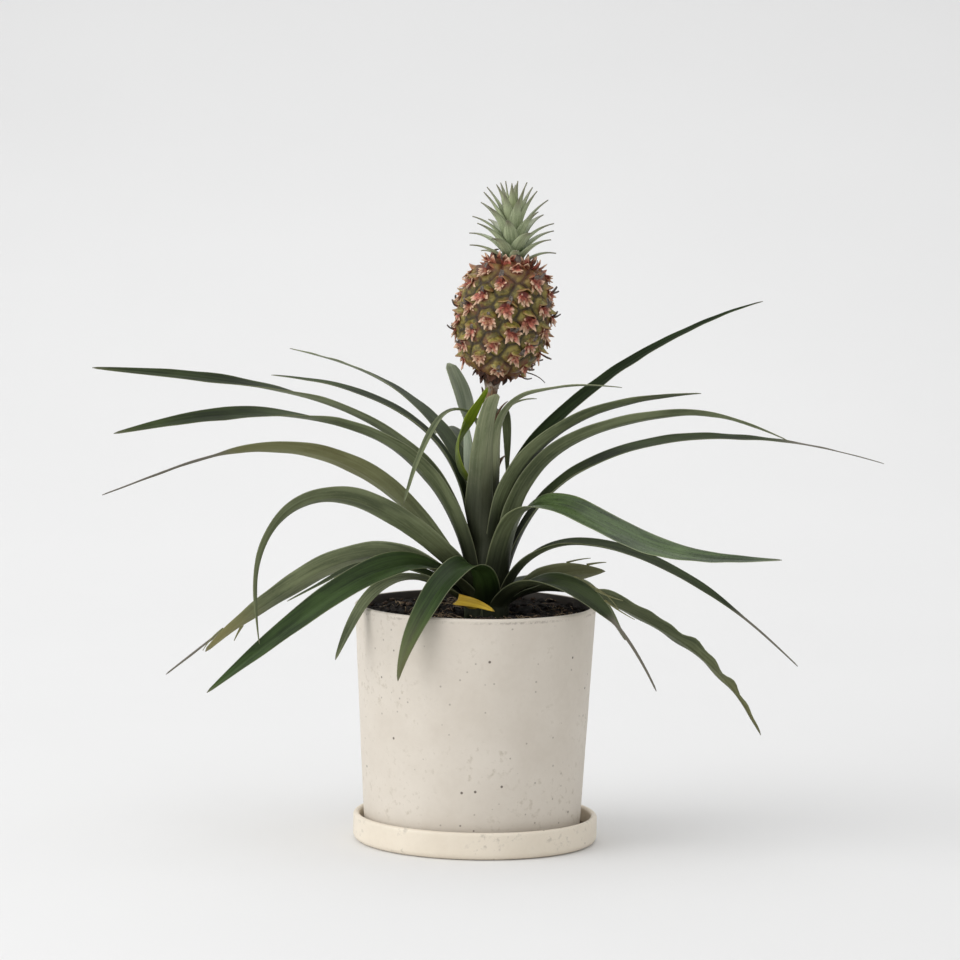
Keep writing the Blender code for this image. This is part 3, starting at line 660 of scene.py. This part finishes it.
def leaf_material(name, dark, light, rough, scurf, sheen, margin=PALE_MARGIN):
    """A blade's face: lengthwise fibres, scales, pale margins, painted shade at the foot and a dry tip."""
    paint = Paint("leaf_" + name, dark, rough, sheen, mapped=True)
    fibres = paint.noise((0.7, 0.012, 1))
    veins = paint.noise((2.6, 0.02, 1), 2, 0.5)
    broad = paint.noise((0.1, 0.022, 1), 3, 0.55, 0.4)
    scales = paint.noise((0.9, 0.35, 1), 5, 0.75)
    paint.coat(light, paint.total(fibres, 0.45, broad, 0.55), 0.34, 0.66)
    paint.coat(tuple(min(255, value + 40) for value in light), scales, 0.52, 0.78, scurf)
    paint.coat(AGED_GREEN, paint.read("aged"))
    # painted shade: each blade darkens towards its foot, where the leaves crowd round the stem
    paint.coat(LEAF_FOOT_SHADE, paint.read("shade"))
    paint.coat(margin, paint.margin(), 0.92, 1, 0.5)
    past_dry = paint.math("SUBTRACT", paint.read("along"), paint.read("dry"))
    paint.coat(WITHERED, past_dry, -0.06, 0.02)
    uneven = paint.node("MapRange", Value=scales, To_Min=rough - 0.08, To_Max=rough + 0.14)
    paint.feed(paint.shader.inputs["Roughness"], uneven.outputs["Result"])
    return paint.finish(paint.total(veins, 1, scales, 0.4), 0.25, 0.5)


def make_leaves():
    faces = {name: leaf_material(name, *family) for name, family in FAMILIES.items()}
    for number, leaf in enumerate(LEAVES, 1):
        name = f"leaf_{number:02d}"
        mesh = leaf_mesh(name + "_blade", number, leaf)
        piece(name, mesh, [faces[part] for part in leaf.look], name)


def make_stem():
    """The core and the fruit's stalk, wrapped in dry scales."""
    heap = Heap()
    z = np.linspace(STEM_RADII[0][0], STEM_RADII[-1][0], 90) * MM
    tube(heap, np.stack([stem_x(z), 0 * z, z], 1), stem_radius(z) + 0.35 * MM * waver(z / MM / 6, 5), 28, 0)
    draw = np.random.default_rng(7)
    share = np.linspace(0, 1, 9)
    for i in range(STALK_SCALES):
        z = SCALES_FROM + SCALES_REACH * i / (STALK_SCALES - 1)
        out = outward(i * GOLDEN_ANGLE + 0.6)
        start = np.array([stem_x(z), 0, z]) + out * (stem_radius(z) + 0.2 * MM)
        direction = UP + out * draw.uniform(0.05, 0.35)
        length = draw.uniform(9, 15) * MM
        path, across, normals = curled(start, direction, out, length, len(share) - 1, draw.uniform(-0.2, 0.9))
        width = stem_radius(z) * 1.7 * (1 - share**1.8) + 0.5 * MM
        heap.plate(ribbon(path, across, -normals, width, 0.8, 6), 0.45 * MM, (1, 1))
    piece("stem", heap.mesh("stem_scaly"), stem_materials(), "stem")


def stem_materials():
    """The stalk, and its dry scales."""
    return [
        layered(
            "stalk", (116, 102, 90), 0.7, (0.4, 0.6), ((168, 152, 140), ((900, 900, 60),), 0.35, 0.65),
            ((104, 78, 56), ((160, 160, 110), 3), 0.48, 0.62),
        ),
        layered(
            "dry_scale", (92, 66, 48), 0.75, (0.5, 0.5), ((146, 114, 86), ((1400, 1400, 120),), 0.3, 0.7),
            ((132, 126, 112), ((260, 260, 200), 3), 0.5, 0.66),
        ),
    ]


# ---- fruit


def fruit_point(angle):
    """The fruit's outline: distance from its axis and height, at an angle up from its middle."""
    power = 2 / np.where(np.asarray(angle) > 0, FRUIT_ROUNDNESS[1], FRUIT_ROUNDNESS[0])
    radius = FRUIT_RADIUS * np.abs(np.cos(angle)) ** power
    height = FRUIT_LENGTH / 2 * np.abs(np.sin(angle)) ** power / sin(FRUIT_END) ** power
    return radius, FRUIT_LENGTH / 2 + np.sign(angle) * height


def placed(points):
    """Points of the fruit's own frame, put on the leaning stalk."""
    place = np.array(Matrix.Translation(FRUIT_FOOT) @ Matrix.Rotation(FRUIT_LEAN, 4, "Y"))
    return points @ place[:3, :3].T + place[:3, 3]


def eye_sites():
    """Centres, normals, up directions and levels of the eyes, in the fruit's own frame."""
    fine = np.radians(np.linspace(EYES_FROM, EYES_TO, 400))
    r, z = fruit_point(fine)
    covered = np.cumsum(np.concatenate([[0], np.hypot(np.diff(r), np.diff(z)) * (r[1:] + r[:-1])]))
    levels = (np.arange(EYES) + 0.5) / EYES
    sites = []
    for i, angle in enumerate(np.interp(levels, covered / covered[-1], fine)):
        radius, height = fruit_point(angle)
        run, rise = np.diff(fruit_point(angle + np.array([-0.02, 0.02])))
        slope = atan2(rise[0], run[0])
        out = outward(i * GOLDEN_ANGLE)
        upward, inward = swung(out, UP, slope)
        sites.append((out * radius + UP * height, -inward, upward, levels[i]))
    return sites


def fruit_skin(heap, sites):
    """The barrel, with a boss at each eye and grooves between them."""
    angles = np.linspace(-FRUIT_END, FRUIT_END, SKIN_ROWS)
    radius, height = fruit_point(angles)
    flat = turned(np.stack([radius, height], 1), SKIN_COLS).reshape(-1, 3)
    centres, upwards = (np.array([site[part] for site in sites]) for part in (0, 2))
    distance = np.linalg.norm(flat[:, None] - centres[None], axis=2)
    nearest = np.argsort(distance, axis=1)[:, :2]
    own = np.take_along_axis(distance, nearest, 1) / MM
    groove, eye = own[:, 1] - own[:, 0], own[:, 0]
    up = np.einsum("ij,ij->i", flat - centres[nearest[:, 0]], upwards[nearest[:, 0]]) / MM
    # in mm: a boss is domed, steeper at its groove and towards its top, and hollow in its middle
    boss = 1 - np.exp(-((groove / 3.2) ** 1.4))
    dome = np.clip(1 - (eye / 10.5) ** 2, 0, 1)
    hollow = np.exp(-((eye / 2.2) ** 2))
    lift = 0.25 + EYE_RISE / MM * boss * (0.45 + 0.55 * dome) + 0.5 * np.clip(up / 6, -0.6, 1) * boss - hollow
    lumps = np.array([noise.noise(Vector(point) / (5 * MM)) for point in flat])
    lift += 0.8 * lumps * (0.4 + 0.6 * boss)
    lift *= np.clip((FRUIT_END - np.abs(np.repeat(angles, SKIN_COLS))) / 0.12, 0, 1)
    run, rise = np.gradient(radius), np.gradient(height)
    size = np.hypot(run, rise)
    away = turned(np.stack([rise / size, -run / size], 1), SKIN_COLS).reshape(-1, 3)
    heap.add(
        placed(flat + away * (lift * MM)[:, None]), round_faces(SKIN_ROWS, SKIN_COLS), 0, groove=groove, eye=eye,
        level=np.repeat(height / FRUIT_LENGTH, SKIN_COLS),
    )


def eye_parts(heap, site, draw):
    """Adds a hood, a tuft of papery sepals and dried flower parts to an eye."""
    vary = draw.uniform
    centre, normal, upward, level = site
    side = unit(np.cross(upward, normal))
    up = np.cross(normal, side)
    centre = centre + normal * (EYE_RISE - 0.2 * MM) + side * vary(-0.7, 0.7) * MM
    size = EYE_SIZE * (1 - 0.22 * abs(2 * level - 1) ** 3) * vary(0.85, 1.12)
    # hood: a broad bract that rises from under the eye above and leans over this one
    start = centre + up * vary(5.6, 6.6) * size - normal * 2 * MM + side * vary(-0.8, 0.8) * MM
    lean = -up * 0.5 + normal * vary(0.6, 1) + side * vary(-0.15, 0.15)
    bract(
        heap, draw, start, lean, normal, vary(5.8, 8.2) * size, vary(10, 13) * size,
        vary(0.2, 0.8), 1, level, 6,
    )
    # sepals: a papery tuft that fans out over the lower half of the eye
    count = int(draw.integers(10, 14))
    for k in range(count):
        turn = radians(np.interp(k, [0, count - 1], [-80, 80]) + vary(-26, 26))
        ahead = side * sin(turn) - up * cos(turn)
        start = centre - ahead * vary(0.2, 1.4) * size + up * size - normal * 1.2 * MM
        bract(
            heap, draw, start, ahead + normal * vary(0.3, 0.8), normal,
            vary(6, 11) * size * (0.7 + 0.3 * cos(turn)), vary(2.8, 5) * size,
            vary(-0.9, 0.2), 2, level, 3, 0.7, (0.8, 1, 0.7, 0.12),
        )
    if draw.random() < REMNANT_SHARE:
        for _ in range(draw.integers(1, 3)):
            start = centre + side * vary(-1.2, 1.2) * MM + up * vary(-0.3, 1.4) * MM - normal * MM
            lean = normal + up * vary(-0.1, 0.6) + side * vary(-0.5, 0.5)
            bract(
                heap, draw, start, lean, up + side * vary(-0.6, 0.6), vary(5.5, 9.5) * MM,
                vary(2.2, 3.4) * MM, vary(0.2, 1.7), 3, level, 3, 1, (0.6, 0.75, 1, 0.6),
            )


def bract(
    heap, draw, start, lean, out, length, width, curl, slot, level, cols=4, cup=0.8, shape=(0.75, 1, 0.72, 0.08)
):
    """Adds a bract to the fruit; shape is its width at its foot, thirds and tip."""
    share = np.linspace(0, 1, BRACT_STEPS + 1)
    path, across, normals = curled(start, lean, out, length, BRACT_STEPS, curl)
    sway = waver(share * 5, int(draw.integers(1e6))) * share * 0.07 * length
    path = path + unit(np.cross(path[-1] - path[0], out)) * sway[:, None]
    uneven = 1 + 0.1 * waver(share * 9, int(draw.integers(1e6)))
    width = width * np.interp(share, [0, 0.33, 0.67, 1], shape) * uneven
    grid = ribbon(path, across, -normals, width, cup, cols)
    heap.plate(grid, BRACT_THICKNESS, (slot, slot), placed, level=level, tint=draw.uniform(0, 1))


def bract_ring(heap, draw, angle, count, rise, length, width, slot, level):
    """Adds a ring of bracts; rise tips them up or down the axis."""
    vary = draw.uniform
    radius, height = fruit_point(radians(angle))
    for k in range(count):
        out = outward((k + vary(-0.35, 0.35)) * 2 * pi / count)
        start = out * (radius + vary(-1, 1) * MM) + UP * (height + vary(-0.6, 0.6) * MM)
        lean = out * vary(0.5, 1.1) + UP * rise * vary(0.7, 1.3)
        bract(
            heap, draw, start, lean, UP * np.sign(rise), length * MM * vary(0.75, 1.2),
            width * MM * vary(0.8, 1.2), vary(-0.3, 0.7), slot, level,
        )


def fruit_materials():
    """Skin, hoods, sepals, dried flowers, and the brown bracts at the foot: slots 0 to 4."""
    skin = Paint("fruit_skin", (88, 80, 30), 0.4, 0.5)
    blotch, grain, level = skin.noise(260), skin.noise(1500, 4, 0.65), skin.read("level")
    skin.coat((146, 132, 60), blotch, 0.38, 0.62)
    skin.coat((108, 68, 42), skin.noise(110, 3), 0.5, 0.64)
    skin.coat((150, 118, 76), grain, 0.5, 0.7, 0.35)
    skin.coat((104, 34, 26), skin.read("eye"), 5, 2.4)
    # painted shade: the grooves between the eyes are darkened
    skin.coat((40, 26, 14), skin.read("groove"), 3.2, 0.3, 0.85)
    top, foot = skin.ramp(level, 0.75, 1, 0.6), skin.ramp(level, 0.2, 0, 0.6)
    skin.coat((120, 62, 44), skin.math("MAXIMUM", top, foot))

    hood = Paint("eye_hood", (96, 90, 34), 0.38, 0.5)
    spots = hood.noise(420)
    hood.coat((158, 144, 72), spots, 0.36, 0.64)
    hood.coat((122, 78, 48), hood.noise(150, 3), 0.5, 0.62)
    tip, margin = hood.ramp(hood.read("along"), 0.55, 1, 0.6), hood.ramp(hood.margin(), 0.7, 1, 0.6)
    hood.coat((168, 126, 86), hood.math("MAXIMUM", tip, margin))
    hood.coat((172, 92, 72), hood.read("level"), 0.7, 0.95, 0.7)

    sepal = layered(
        "eye_sepal", (190, 108, 90), 0.5, (0.5, 0.7), ((172, 128, 92), "tint", 0.1, 0.9),
        ((116, 54, 40), (620,), 0.4, 0.6), ((112, 34, 28), "along", 0.5, 0),
        ((224, 192, 162), "along", 0.55, 0.95, 0.85), gloss=0.4,
    )
    dried = layered(
        "dried_flower", (74, 64, 58), 0.7, (0.6, 0.6), ((134, 122, 112), (900, 4, 0.7), 0.4, 0.66),
        ((138, 66, 50), "along", 0.6, 0.3),
    )
    husk = layered(
        "foot_bract", (44, 26, 18), 0.7, (0.5, 0.7), ((88, 54, 36), (500, 4, 0.65), 0.36, 0.64),
        ((96, 60, 40), "tint", 0.5, 1),
    )
    relief = skin.math("ADD", grain, blotch)
    return [skin.finish(relief, 0.6, 1), hood.finish(spots, 0.5, 0.8), sepal, dried, husk]


def make_fruit():
    heap = Heap()
    sites = eye_sites()
    fruit_skin(heap, sites)
    draw = np.random.default_rng(21)
    for site in sites:
        eye_parts(heap, site, draw)
    # a long dry strand that hangs out at the foot
    start = np.array(FRUIT_FOOT) + np.array([13, -3, 2]) * MM
    path, across, normals = curled(start, (1, -0.1, 0.12), -UP, 21 * MM, 12, 1)
    wide = 2.4 * MM * steps_at((1, 0.8, 0.15), np.linspace(0, 1, 13))
    heap.plate(ribbon(path, across, normals, wide, 0.7, 4), 0.4 * MM, (4, 4), tint=0.3)
    # rings round the top and the foot: angle, count, rise, length and width in mm, slot and level
    for ring in (
        (73, 15, 1.2, 8, 6, 2, 1), (64, 13, 0.7, 8, 6, 2, 0.95), (68, 9, 1.4, 8, 1.8, 3, 0.95),
        (-70, 12, -0.8, 5, 7, 4, 0), (-77, 10, -2.2, 6, 7, 4, 0),
    ):
        bract_ring(heap, draw, *ring)
    piece("fruit", heap.mesh("fruit_eyes"), fruit_materials(), "fruit")


# ---- crown


def crown_material(name, dark, light, tip):
    paint = Paint(name, dark, 0.55, mapped=True)
    fibres, scales, along = paint.noise((1.4, 0.06, 1)), paint.noise((1.6, 1, 1), 4, 0.7), paint.read("along")
    tone = paint.total(fibres, 0.6, scales, 0.4)
    paint.coat(light, tone, 0.36, 0.64)
    paint.coat((200, 208, 164), paint.read("level"), 0.55, 0.95, 0.5)
    # painted shade: each crown leaf darkens towards its foot, where the leaves overlap
    paint.coat((82, 104, 66), along, 0.25, 0, 0.7)
    paint.coat((112, 118, 92), paint.margin(), 0.8, 1, 0.5)
    paint.coat(tip, along, 0.5, 0.95, 0.8)
    return paint.finish(tone, 0.35, 0.5)


def make_crown():
    """A spiral of broad-based leaves, the low ones curled outwards."""
    top = fruit_point(FRUIT_END)[1] + GAP
    foot = np.array(FRUIT_FOOT + Matrix.Rotation(FRUIT_LEAN, 3, "Y") @ Vector((0, 0, top)))
    tilt = np.array(Matrix.Rotation(CROWN_LEAN, 3, "Y")).T
    heap = Heap()
    level = np.linspace(0, 1, 30)
    core = (UP * level[:, None] * 0.62 * CROWN_HEIGHT) @ tilt + foot
    tube(heap, core, CROWN_CORE_RADIUS * 0.85 * (1 - 0.8 * level), 24, 0)
    draw = np.random.default_rng(33)
    share = np.linspace(0, 1, CROWN_STEPS + 1)
    edge = np.linspace(-1, 1, CROWN_COLS + 1)
    thickness = CROWN_MIDDLE - (CROWN_MIDDLE - CROWN_EDGE) * edge**2
    for i in range(CROWN_LEAVES):
        height = (i + 0.5) / CROWN_LEAVES
        out = outward(i * GOLDEN_ANGLE)
        z = (-0.02 + 0.54 * height) * CROWN_HEIGHT
        start = out * CROWN_CORE_RADIUS * (0.95 - 0.72 * height) + UP * z
        slant = radians(np.interp(height, [0, 0.3, 0.7, 1], [52, 34, 16, 3]) + draw.uniform(-3, 3))
        curl = np.interp(height, [0, 0.4, 0.8, 1], [0.85, 0.75, 0.4, 0.1]) + draw.uniform(-0.1, 0.15)
        length = np.interp(height, [0, 0.25, 0.6, 1], [20, 27, 30, 27]) * MM * draw.uniform(0.94, 1.05)
        length = min(length, 0.97 * CROWN_HEIGHT - z)
        direction, above = swung(UP, out, slant)
        path, across, normals = curled(start, direction, above, length, CROWN_STEPS, curl)
        full = np.interp(height, [0, 0.3, 0.6, 1], [8, 10.5, 10, 7]) * MM * draw.uniform(0.9, 1.08)
        width = full * np.interp(share, [0, 0.1, 0.3, 0.6, 0.85, 1], [0.95, 1, 0.92, 0.6, 0.24, 0.04])
        grid = ribbon(path, across, -normals, width, np.radians(48 - 18 * share), CROWN_COLS)
        blade = unrolled(width, share * length / MM, CROWN_COLS, 11 * i)
        heap.plate(grid, thickness, (0, 1), lambda points: points @ tilt + foot, level=height, blade=blade)
    materials = [
        crown_material("crown_inner", (134, 146, 112), (184, 192, 156), (104, 98, 80)),
        crown_material("crown_outer", (176, 186, 160), (220, 226, 202), (112, 108, 92)),
    ]
    piece("crown", heap.mesh("crown_leaves"), materials, "crown")


# ---- pot and saucer


def pot_radius(z):
    """The outer radius of the pot at a height."""
    return POT_FOOT_RADIUS + (POT_RIM_RADIUS - POT_FOOT_RADIUS) * (z - POT_FOOT) / (POT_TOP - POT_FOOT)


def wall(low, high, count, inset=0):
    """Points of the pot's outer face in an outline, or of a face that lies further in."""
    return [(pot_radius(z) - inset, z) for z in np.linspace(low, high, count)]


def pores(paint, scale, reach, share, top):
    """Dark dots: cells per metre, their radius in cells, the share of cells with one, and strength."""
    cells = paint.node("TexVoronoi", Vector=paint.place, Scale=scale, Randomness=1)
    chosen = paint.node("SeparateXYZ", Vector=cells.outputs["Color"]).outputs["X"]
    dot = paint.ramp(cells.outputs["Distance"], reach, 0.5 * reach, top)
    return paint.math("MULTIPLY", dot, paint.ramp(chosen, 1 - share - 0.01, 1 - share + 0.01))


def ceramic(name, light, dark, inner, pore_share, rough, lip=None):
    """Mottled stoneware with dark pores, painted shade inside, and a broken dark line at lip."""
    paint = Paint(name, dark, rough)
    clouds, mottle = paint.noise(26, 4, 0.55), paint.noise(220, 5, 0.62)
    paint.coat(light, paint.total(clouds, 0.7, mottle, 0.3), 0.3, 0.7)
    veins = paint.math("MULTIPLY", paint.ramp(mottle, 0.52, 0.72, 0.8), paint.ramp(clouds, 0.42, 0.6))
    paint.coat((190, 180, 164), veins)
    paint.coat((120, 108, 94), pores(paint, 190, 0.16, 1.6 * pore_share, 0.5))
    paint.coat((84, 72, 62), pores(paint, 120, 0.13, pore_share, 0.9))
    if lip:
        z = paint.node("SeparateXYZ", Vector=paint.place).outputs["Z"]
        specks, broken = paint.noise(520, 4, 0.7), paint.noise(40, 2, 0.5)
        crust = paint.ramp(z, lip[0] - 1 * MM, lip[0])
        for part in (
            paint.ramp(z, lip[1] + 0.8 * MM, lip[1]), paint.ramp(specks, 0.4, 0.66),
            paint.ramp(broken, 0.3, 0.55, 0.5),
        ):
            crust = paint.math("MULTIPLY", crust, part)
        paint.coat((112, 100, 88), crust)
    # painted shade: the inside of the pot, and of the saucer, takes the dark inner colour
    paint.coat(inner, paint.read("inside"))
    return paint.finish(paint.math("ADD", mottle, clouds), 0.15, 0.5)


def make_pot():
    lip, floor = POT_LIP, POT_FOOT + POT_FLOOR
    rim = POT_RIM_RADIUS - lip
    mouth = arc((rim - POT_WALL + 2.4 * lip, POT_TOP - lip), lip, 180, 90, 6)
    outline = mouth + arc((rim, POT_TOP - lip), lip, 90, 0, 8)
    outline += wall(POT_TOP - lip - MM, POT_FOOT + HEEL + MM, 30)
    outline += arc((pot_radius(POT_FOOT + HEEL) - HEEL, POT_FOOT + HEEL), HEEL, 0, -90, 8)
    outline += [(DRAIN_RADIUS, POT_FOOT), (DRAIN_RADIUS, floor)]
    lining = [(pot_radius(floor) - POT_WALL - 2 * MM, floor)]
    lining += wall(floor + 2 * MM, POT_TOP - 4 * MM, 16, POT_WALL)
    outline += lining
    # painted shade on the mouth and the inner wall of the pot
    inside = np.zeros(len(outline))
    inside[:5] = 1
    inside[-len(lining):] = 1
    heap = Heap()
    # the wall is pushed in and out a little, as by hand
    points = turned(outline[::-1], ROUND_STEPS, POT_X).reshape(-1, 3)
    push = [noise.noise(Vector(point) / (24 * MM) + Vector((3, 0, 0))) for point in points]
    points += unit(points * (1, 1, 0)) * np.array(push)[:, None] * POT_WOBBLE
    heap.add(points, loop_faces(len(outline), ROUND_STEPS), 0, inside=np.repeat(inside[::-1], ROUND_STEPS))
    clay = ceramic("pot_stoneware", (219, 211, 199), (209, 200, 187), (62, 54, 46), 0.16, 0.6, LIP_LINE)
    piece("pot", heap.mesh("pot_turned"), [clay], "pot")


def make_saucer():
    lip = SAUCER_WALL / 2
    inner = SAUCER_RADIUS - SAUCER_WALL
    outline = [(0.5 * inner, SAUCER_FLOOR)]
    outline += arc((inner - SAUCER_FILLET, SAUCER_FLOOR + SAUCER_FILLET), SAUCER_FILLET, -90, 0, 6)
    outline += arc((SAUCER_RADIUS - lip, SAUCER_HEIGHT - lip), lip, 180, 0, 12)
    outline += [(SAUCER_RADIUS, z) for z in np.linspace(SAUCER_HEIGHT - lip - MM, HEEL + MM, 5)]
    outline += arc((SAUCER_RADIUS - HEEL, HEEL), HEEL, 0, -90, 8)
    outline += [(0.5 * inner, 0)]
    # painted shade: the saucer's inside, in the gap round the pot, is darkened
    gap_shade = 0.85
    inside = np.zeros(len(outline))
    inside[:7] = gap_shade
    points = np.vstack([turned(outline, ROUND_STEPS).reshape(-1, 3), (0, 0, SAUCER_FLOOR), (0, 0, 0)])
    inside = np.concatenate([np.repeat(inside, ROUND_STEPS), [gap_shade, 0]])
    heap = Heap()
    heap.add(points, round_faces(len(outline), ROUND_STEPS, pointed=True), 0, inside=inside)
    glaze = ceramic("saucer_glaze", (234, 224, 207), (225, 214, 196), (98, 86, 76), 0.06, 0.45)
    piece("saucer", heap.mesh("saucer_turned"), [glaze], "saucer")


# ---- potting mix


def mound(x, y, number):
    """The mix's soft relief in mm, at one of its three sizes."""
    height, size = MIX_LUMPS[number]
    return height * noise.noise(Vector((x / size, y / size, number + 1)))


def mix_dish(x, y):
    """How much lower the mix lies near the stem."""
    return MIX_DISH * max(0, 1 - (hypot(x - STEM_X, y) - MIX_HOLE_RADIUS) / MIX_DISH_REACH)


def strewn(draw, side, *shares):
    """A random place on the mix, between two shares of its area."""
    reach = side * sqrt(draw.uniform(*shares))
    around = draw.uniform(0, 2 * pi)
    return reach * cos(around) + POT_X, reach * sin(around)


def make_mix():
    """Crumbly potting mix with bits of bark and pale fibres."""
    floor = SAUCER_FLOOR + POT_FLOOR + 2 * GAP
    side = pot_radius(MIX_TOP) - POT_WALL - MIX_PLAY
    hole = MIX_HOLE_RADIUS - 1 * MM
    outline = [(pot_radius(floor) - POT_WALL - 3 * MM, floor)]
    outline += wall(floor + 3 * MM, MIX_TOP, 6, POT_WALL + MIX_PLAY)
    outline += [(r, MIX_TOP) for r in np.linspace(side - 0.8 * MM, hole, MIX_RINGS)] + [(hole, floor)]
    points = turned(outline[::-1], MIX_STEPS, POT_X).reshape(-1, 3)
    for i in np.flatnonzero(np.abs(points[:, 2] - MIX_TOP) < 1e-6):
        x, y = points[i, :2]
        inside = min(1, max(0, (side - hypot(x, y)) / (5 * MM)))
        lift = mound(x, y, 0) + mound(x, y, 1) + mound(x, y, 2)
        points[i, 2] += lift * MM * (0.3 + 0.7 * inside) - mix_dish(x, y)
    heap = Heap()
    heap.add(points, loop_faces(len(outline), MIX_STEPS), 0)

    draw = np.random.default_rng(55)
    for _ in range(BARK_BITS):
        x, y = strewn(draw, side, 0.05, 0.97)
        ground = MIX_TOP + mound(x, y, 0) * MM - mix_dish(x, y)
        size = draw.uniform(1.2, 4.2) * MM * draw.uniform(0.6, 1)
        lump(heap, (x, y, ground + 0.35 * size), size, draw, 1 if draw.random() < BARK_SHARE else 0)
    steps = np.linspace(-0.5, 0.5, 10)
    for _ in range(FIBRES):
        x, y = strewn(draw, side, 0.04, 0.93)
        heading = draw.uniform(0, 2 * pi)
        length = draw.uniform(5, 18) * MM
        bend = draw.uniform(-0.5, 0.5) * steps**2
        px = x + length * (steps * cos(heading) - bend * sin(heading))
        py = y + length * (steps * sin(heading) + bend * cos(heading))
        if np.hypot(px - POT_X, py).max() >= side - MM:
            continue
        pz = MIX_TOP + 1.6 * MM + 1.8 * MM * waver(steps * 6, int(draw.integers(1e6))) - mix_dish(x, y)
        tube(heap, np.stack([px, py, pz], 1), draw.uniform(0.12, 0.3) * MM, 5, 2)
    piece("mix", heap.mesh("mix_crumbs"), mix_materials(), "potting_mix")


def lump(heap, centre, size, draw, slot):
    """An irregular crumb: a squashed ball with uneven corners."""
    rows, cols = 5, 7
    lat = np.linspace(-pi / 2, pi / 2, rows + 2)[1:-1]
    ball = turned(np.stack([np.cos(lat), np.sin(lat)], 1), cols).reshape(-1, 3)
    ball = np.vstack([ball, -UP, UP])
    ball *= draw.uniform(0.7, 1.15, (len(ball), 1))
    ball *= np.array([1, draw.uniform(0.4, 0.9), draw.uniform(0.25, 0.6)]) * size
    turn = Matrix.Rotation(draw.uniform(0, 6.3), 3, "Z") @ Matrix.Rotation(draw.uniform(-0.6, 0.6), 3, "X")
    heap.add(ball @ np.array(turn).T + np.array(centre), round_faces(rows, cols, pointed=True), slot)


def mix_materials():
    """Crumbs, bark and fibres."""
    return [
        layered(
            "mix_dark", (14, 11, 9), 0.9, (0.9, 2), ((44, 35, 28), (420, 6, 0.7), 0.36, 0.66),
            ((34, 25, 19), (90, 3), 0.5, 0.7, 0.5), ((112, 94, 76), (1100, 3), 0.7, 0.76),
        ),
        layered(
            "mix_bark", (34, 25, 19), 0.85, (0.7, 0.8),
            ((82, 62, 46), ((700, 300, 900), 4, 0.65), 0.35, 0.65),
        ),
        layered("mix_fibre", (96, 76, 56), 0.8, (0, 0), ((168, 146, 116), (500, 3), 0.35, 0.65)),
    ]


# ---- floor, light and camera


def make_stage():
    """A pale sweep: the floor runs back and curves up into a wall."""
    profile = [(SWEEP_FRONT, 0), (SWEEP_BEND, 0)]
    for angle in np.linspace(0.03, pi / 2, 40):
        profile.append((SWEEP_BEND + SWEEP_RADIUS * sin(angle), SWEEP_RADIUS * (1 - cos(angle))))
    profile.append((SWEEP_BEND + SWEEP_RADIUS, SWEEP_TOP))
    heap = Heap()
    points = [(x, y, z - 0.1 * MM) for y, z in profile for x in (-SWEEP_HALF, SWEEP_HALF)]
    heap.add(points, [(2 * i, 2 * i + 1, 2 * i + 3, 2 * i + 2) for i in range(len(profile) - 1)], 0)
    sweep = shown("stage_sweep", heap.mesh("sweep"))
    paper = Paint("sweep_paper", (231, 231, 231), 0.9, 0.2)
    paper.coat((235, 235, 235), paper.noise(3, 3, 0.5))
    sweep.data.materials.append(paper.finish())


def make_light():
    world = bpy.data.worlds.new("studio")
    world.use_nodes = True
    back = world.node_tree.nodes["Background"]
    back.inputs["Color"].default_value = (1, 1, 1, 1)
    back.inputs["Strength"].default_value = WORLD_STRENGTH
    bpy.context.scene.world = world
    for name, (place, size, power, aim) in LAMPS.items():
        lamp = bpy.data.lights.new(name, "AREA")
        lamp.shape = "DISK"
        lamp.size = size
        lamp.energy = power
        made = shown(name, lamp)
        made.location = place
        made.rotation_euler = (Vector(aim) - Vector(place)).to_track_quat("-Z", "Y").to_euler()


def make_camera():
    """Looks along +Y and a little down, from far off."""
    forward, above = swung(NORTH, -UP, radians(CAMERA_PITCH))
    right, up = swung(EAST, -above, radians(CAMERA_TILT))
    camera = bpy.data.cameras.new("camera")
    camera.lens = CAMERA_LENS
    camera.sensor_width = CAMERA_SENSOR
    made = shown("camera", camera)
    place = CAMERA_TARGET - forward * CAMERA_DISTANCE
    made.matrix_world = Matrix([*zip(right, up, -forward, place), (0, 0, 0, 1)])
    bpy.context.scene.camera = made


make_saucer()
make_pot()
make_mix()
make_stem()
make_leaves()
make_fruit()
make_crown()
make_stage()
make_light()
make_camera()
bpy.context.scene.view_settings.view_transform = "Standard"
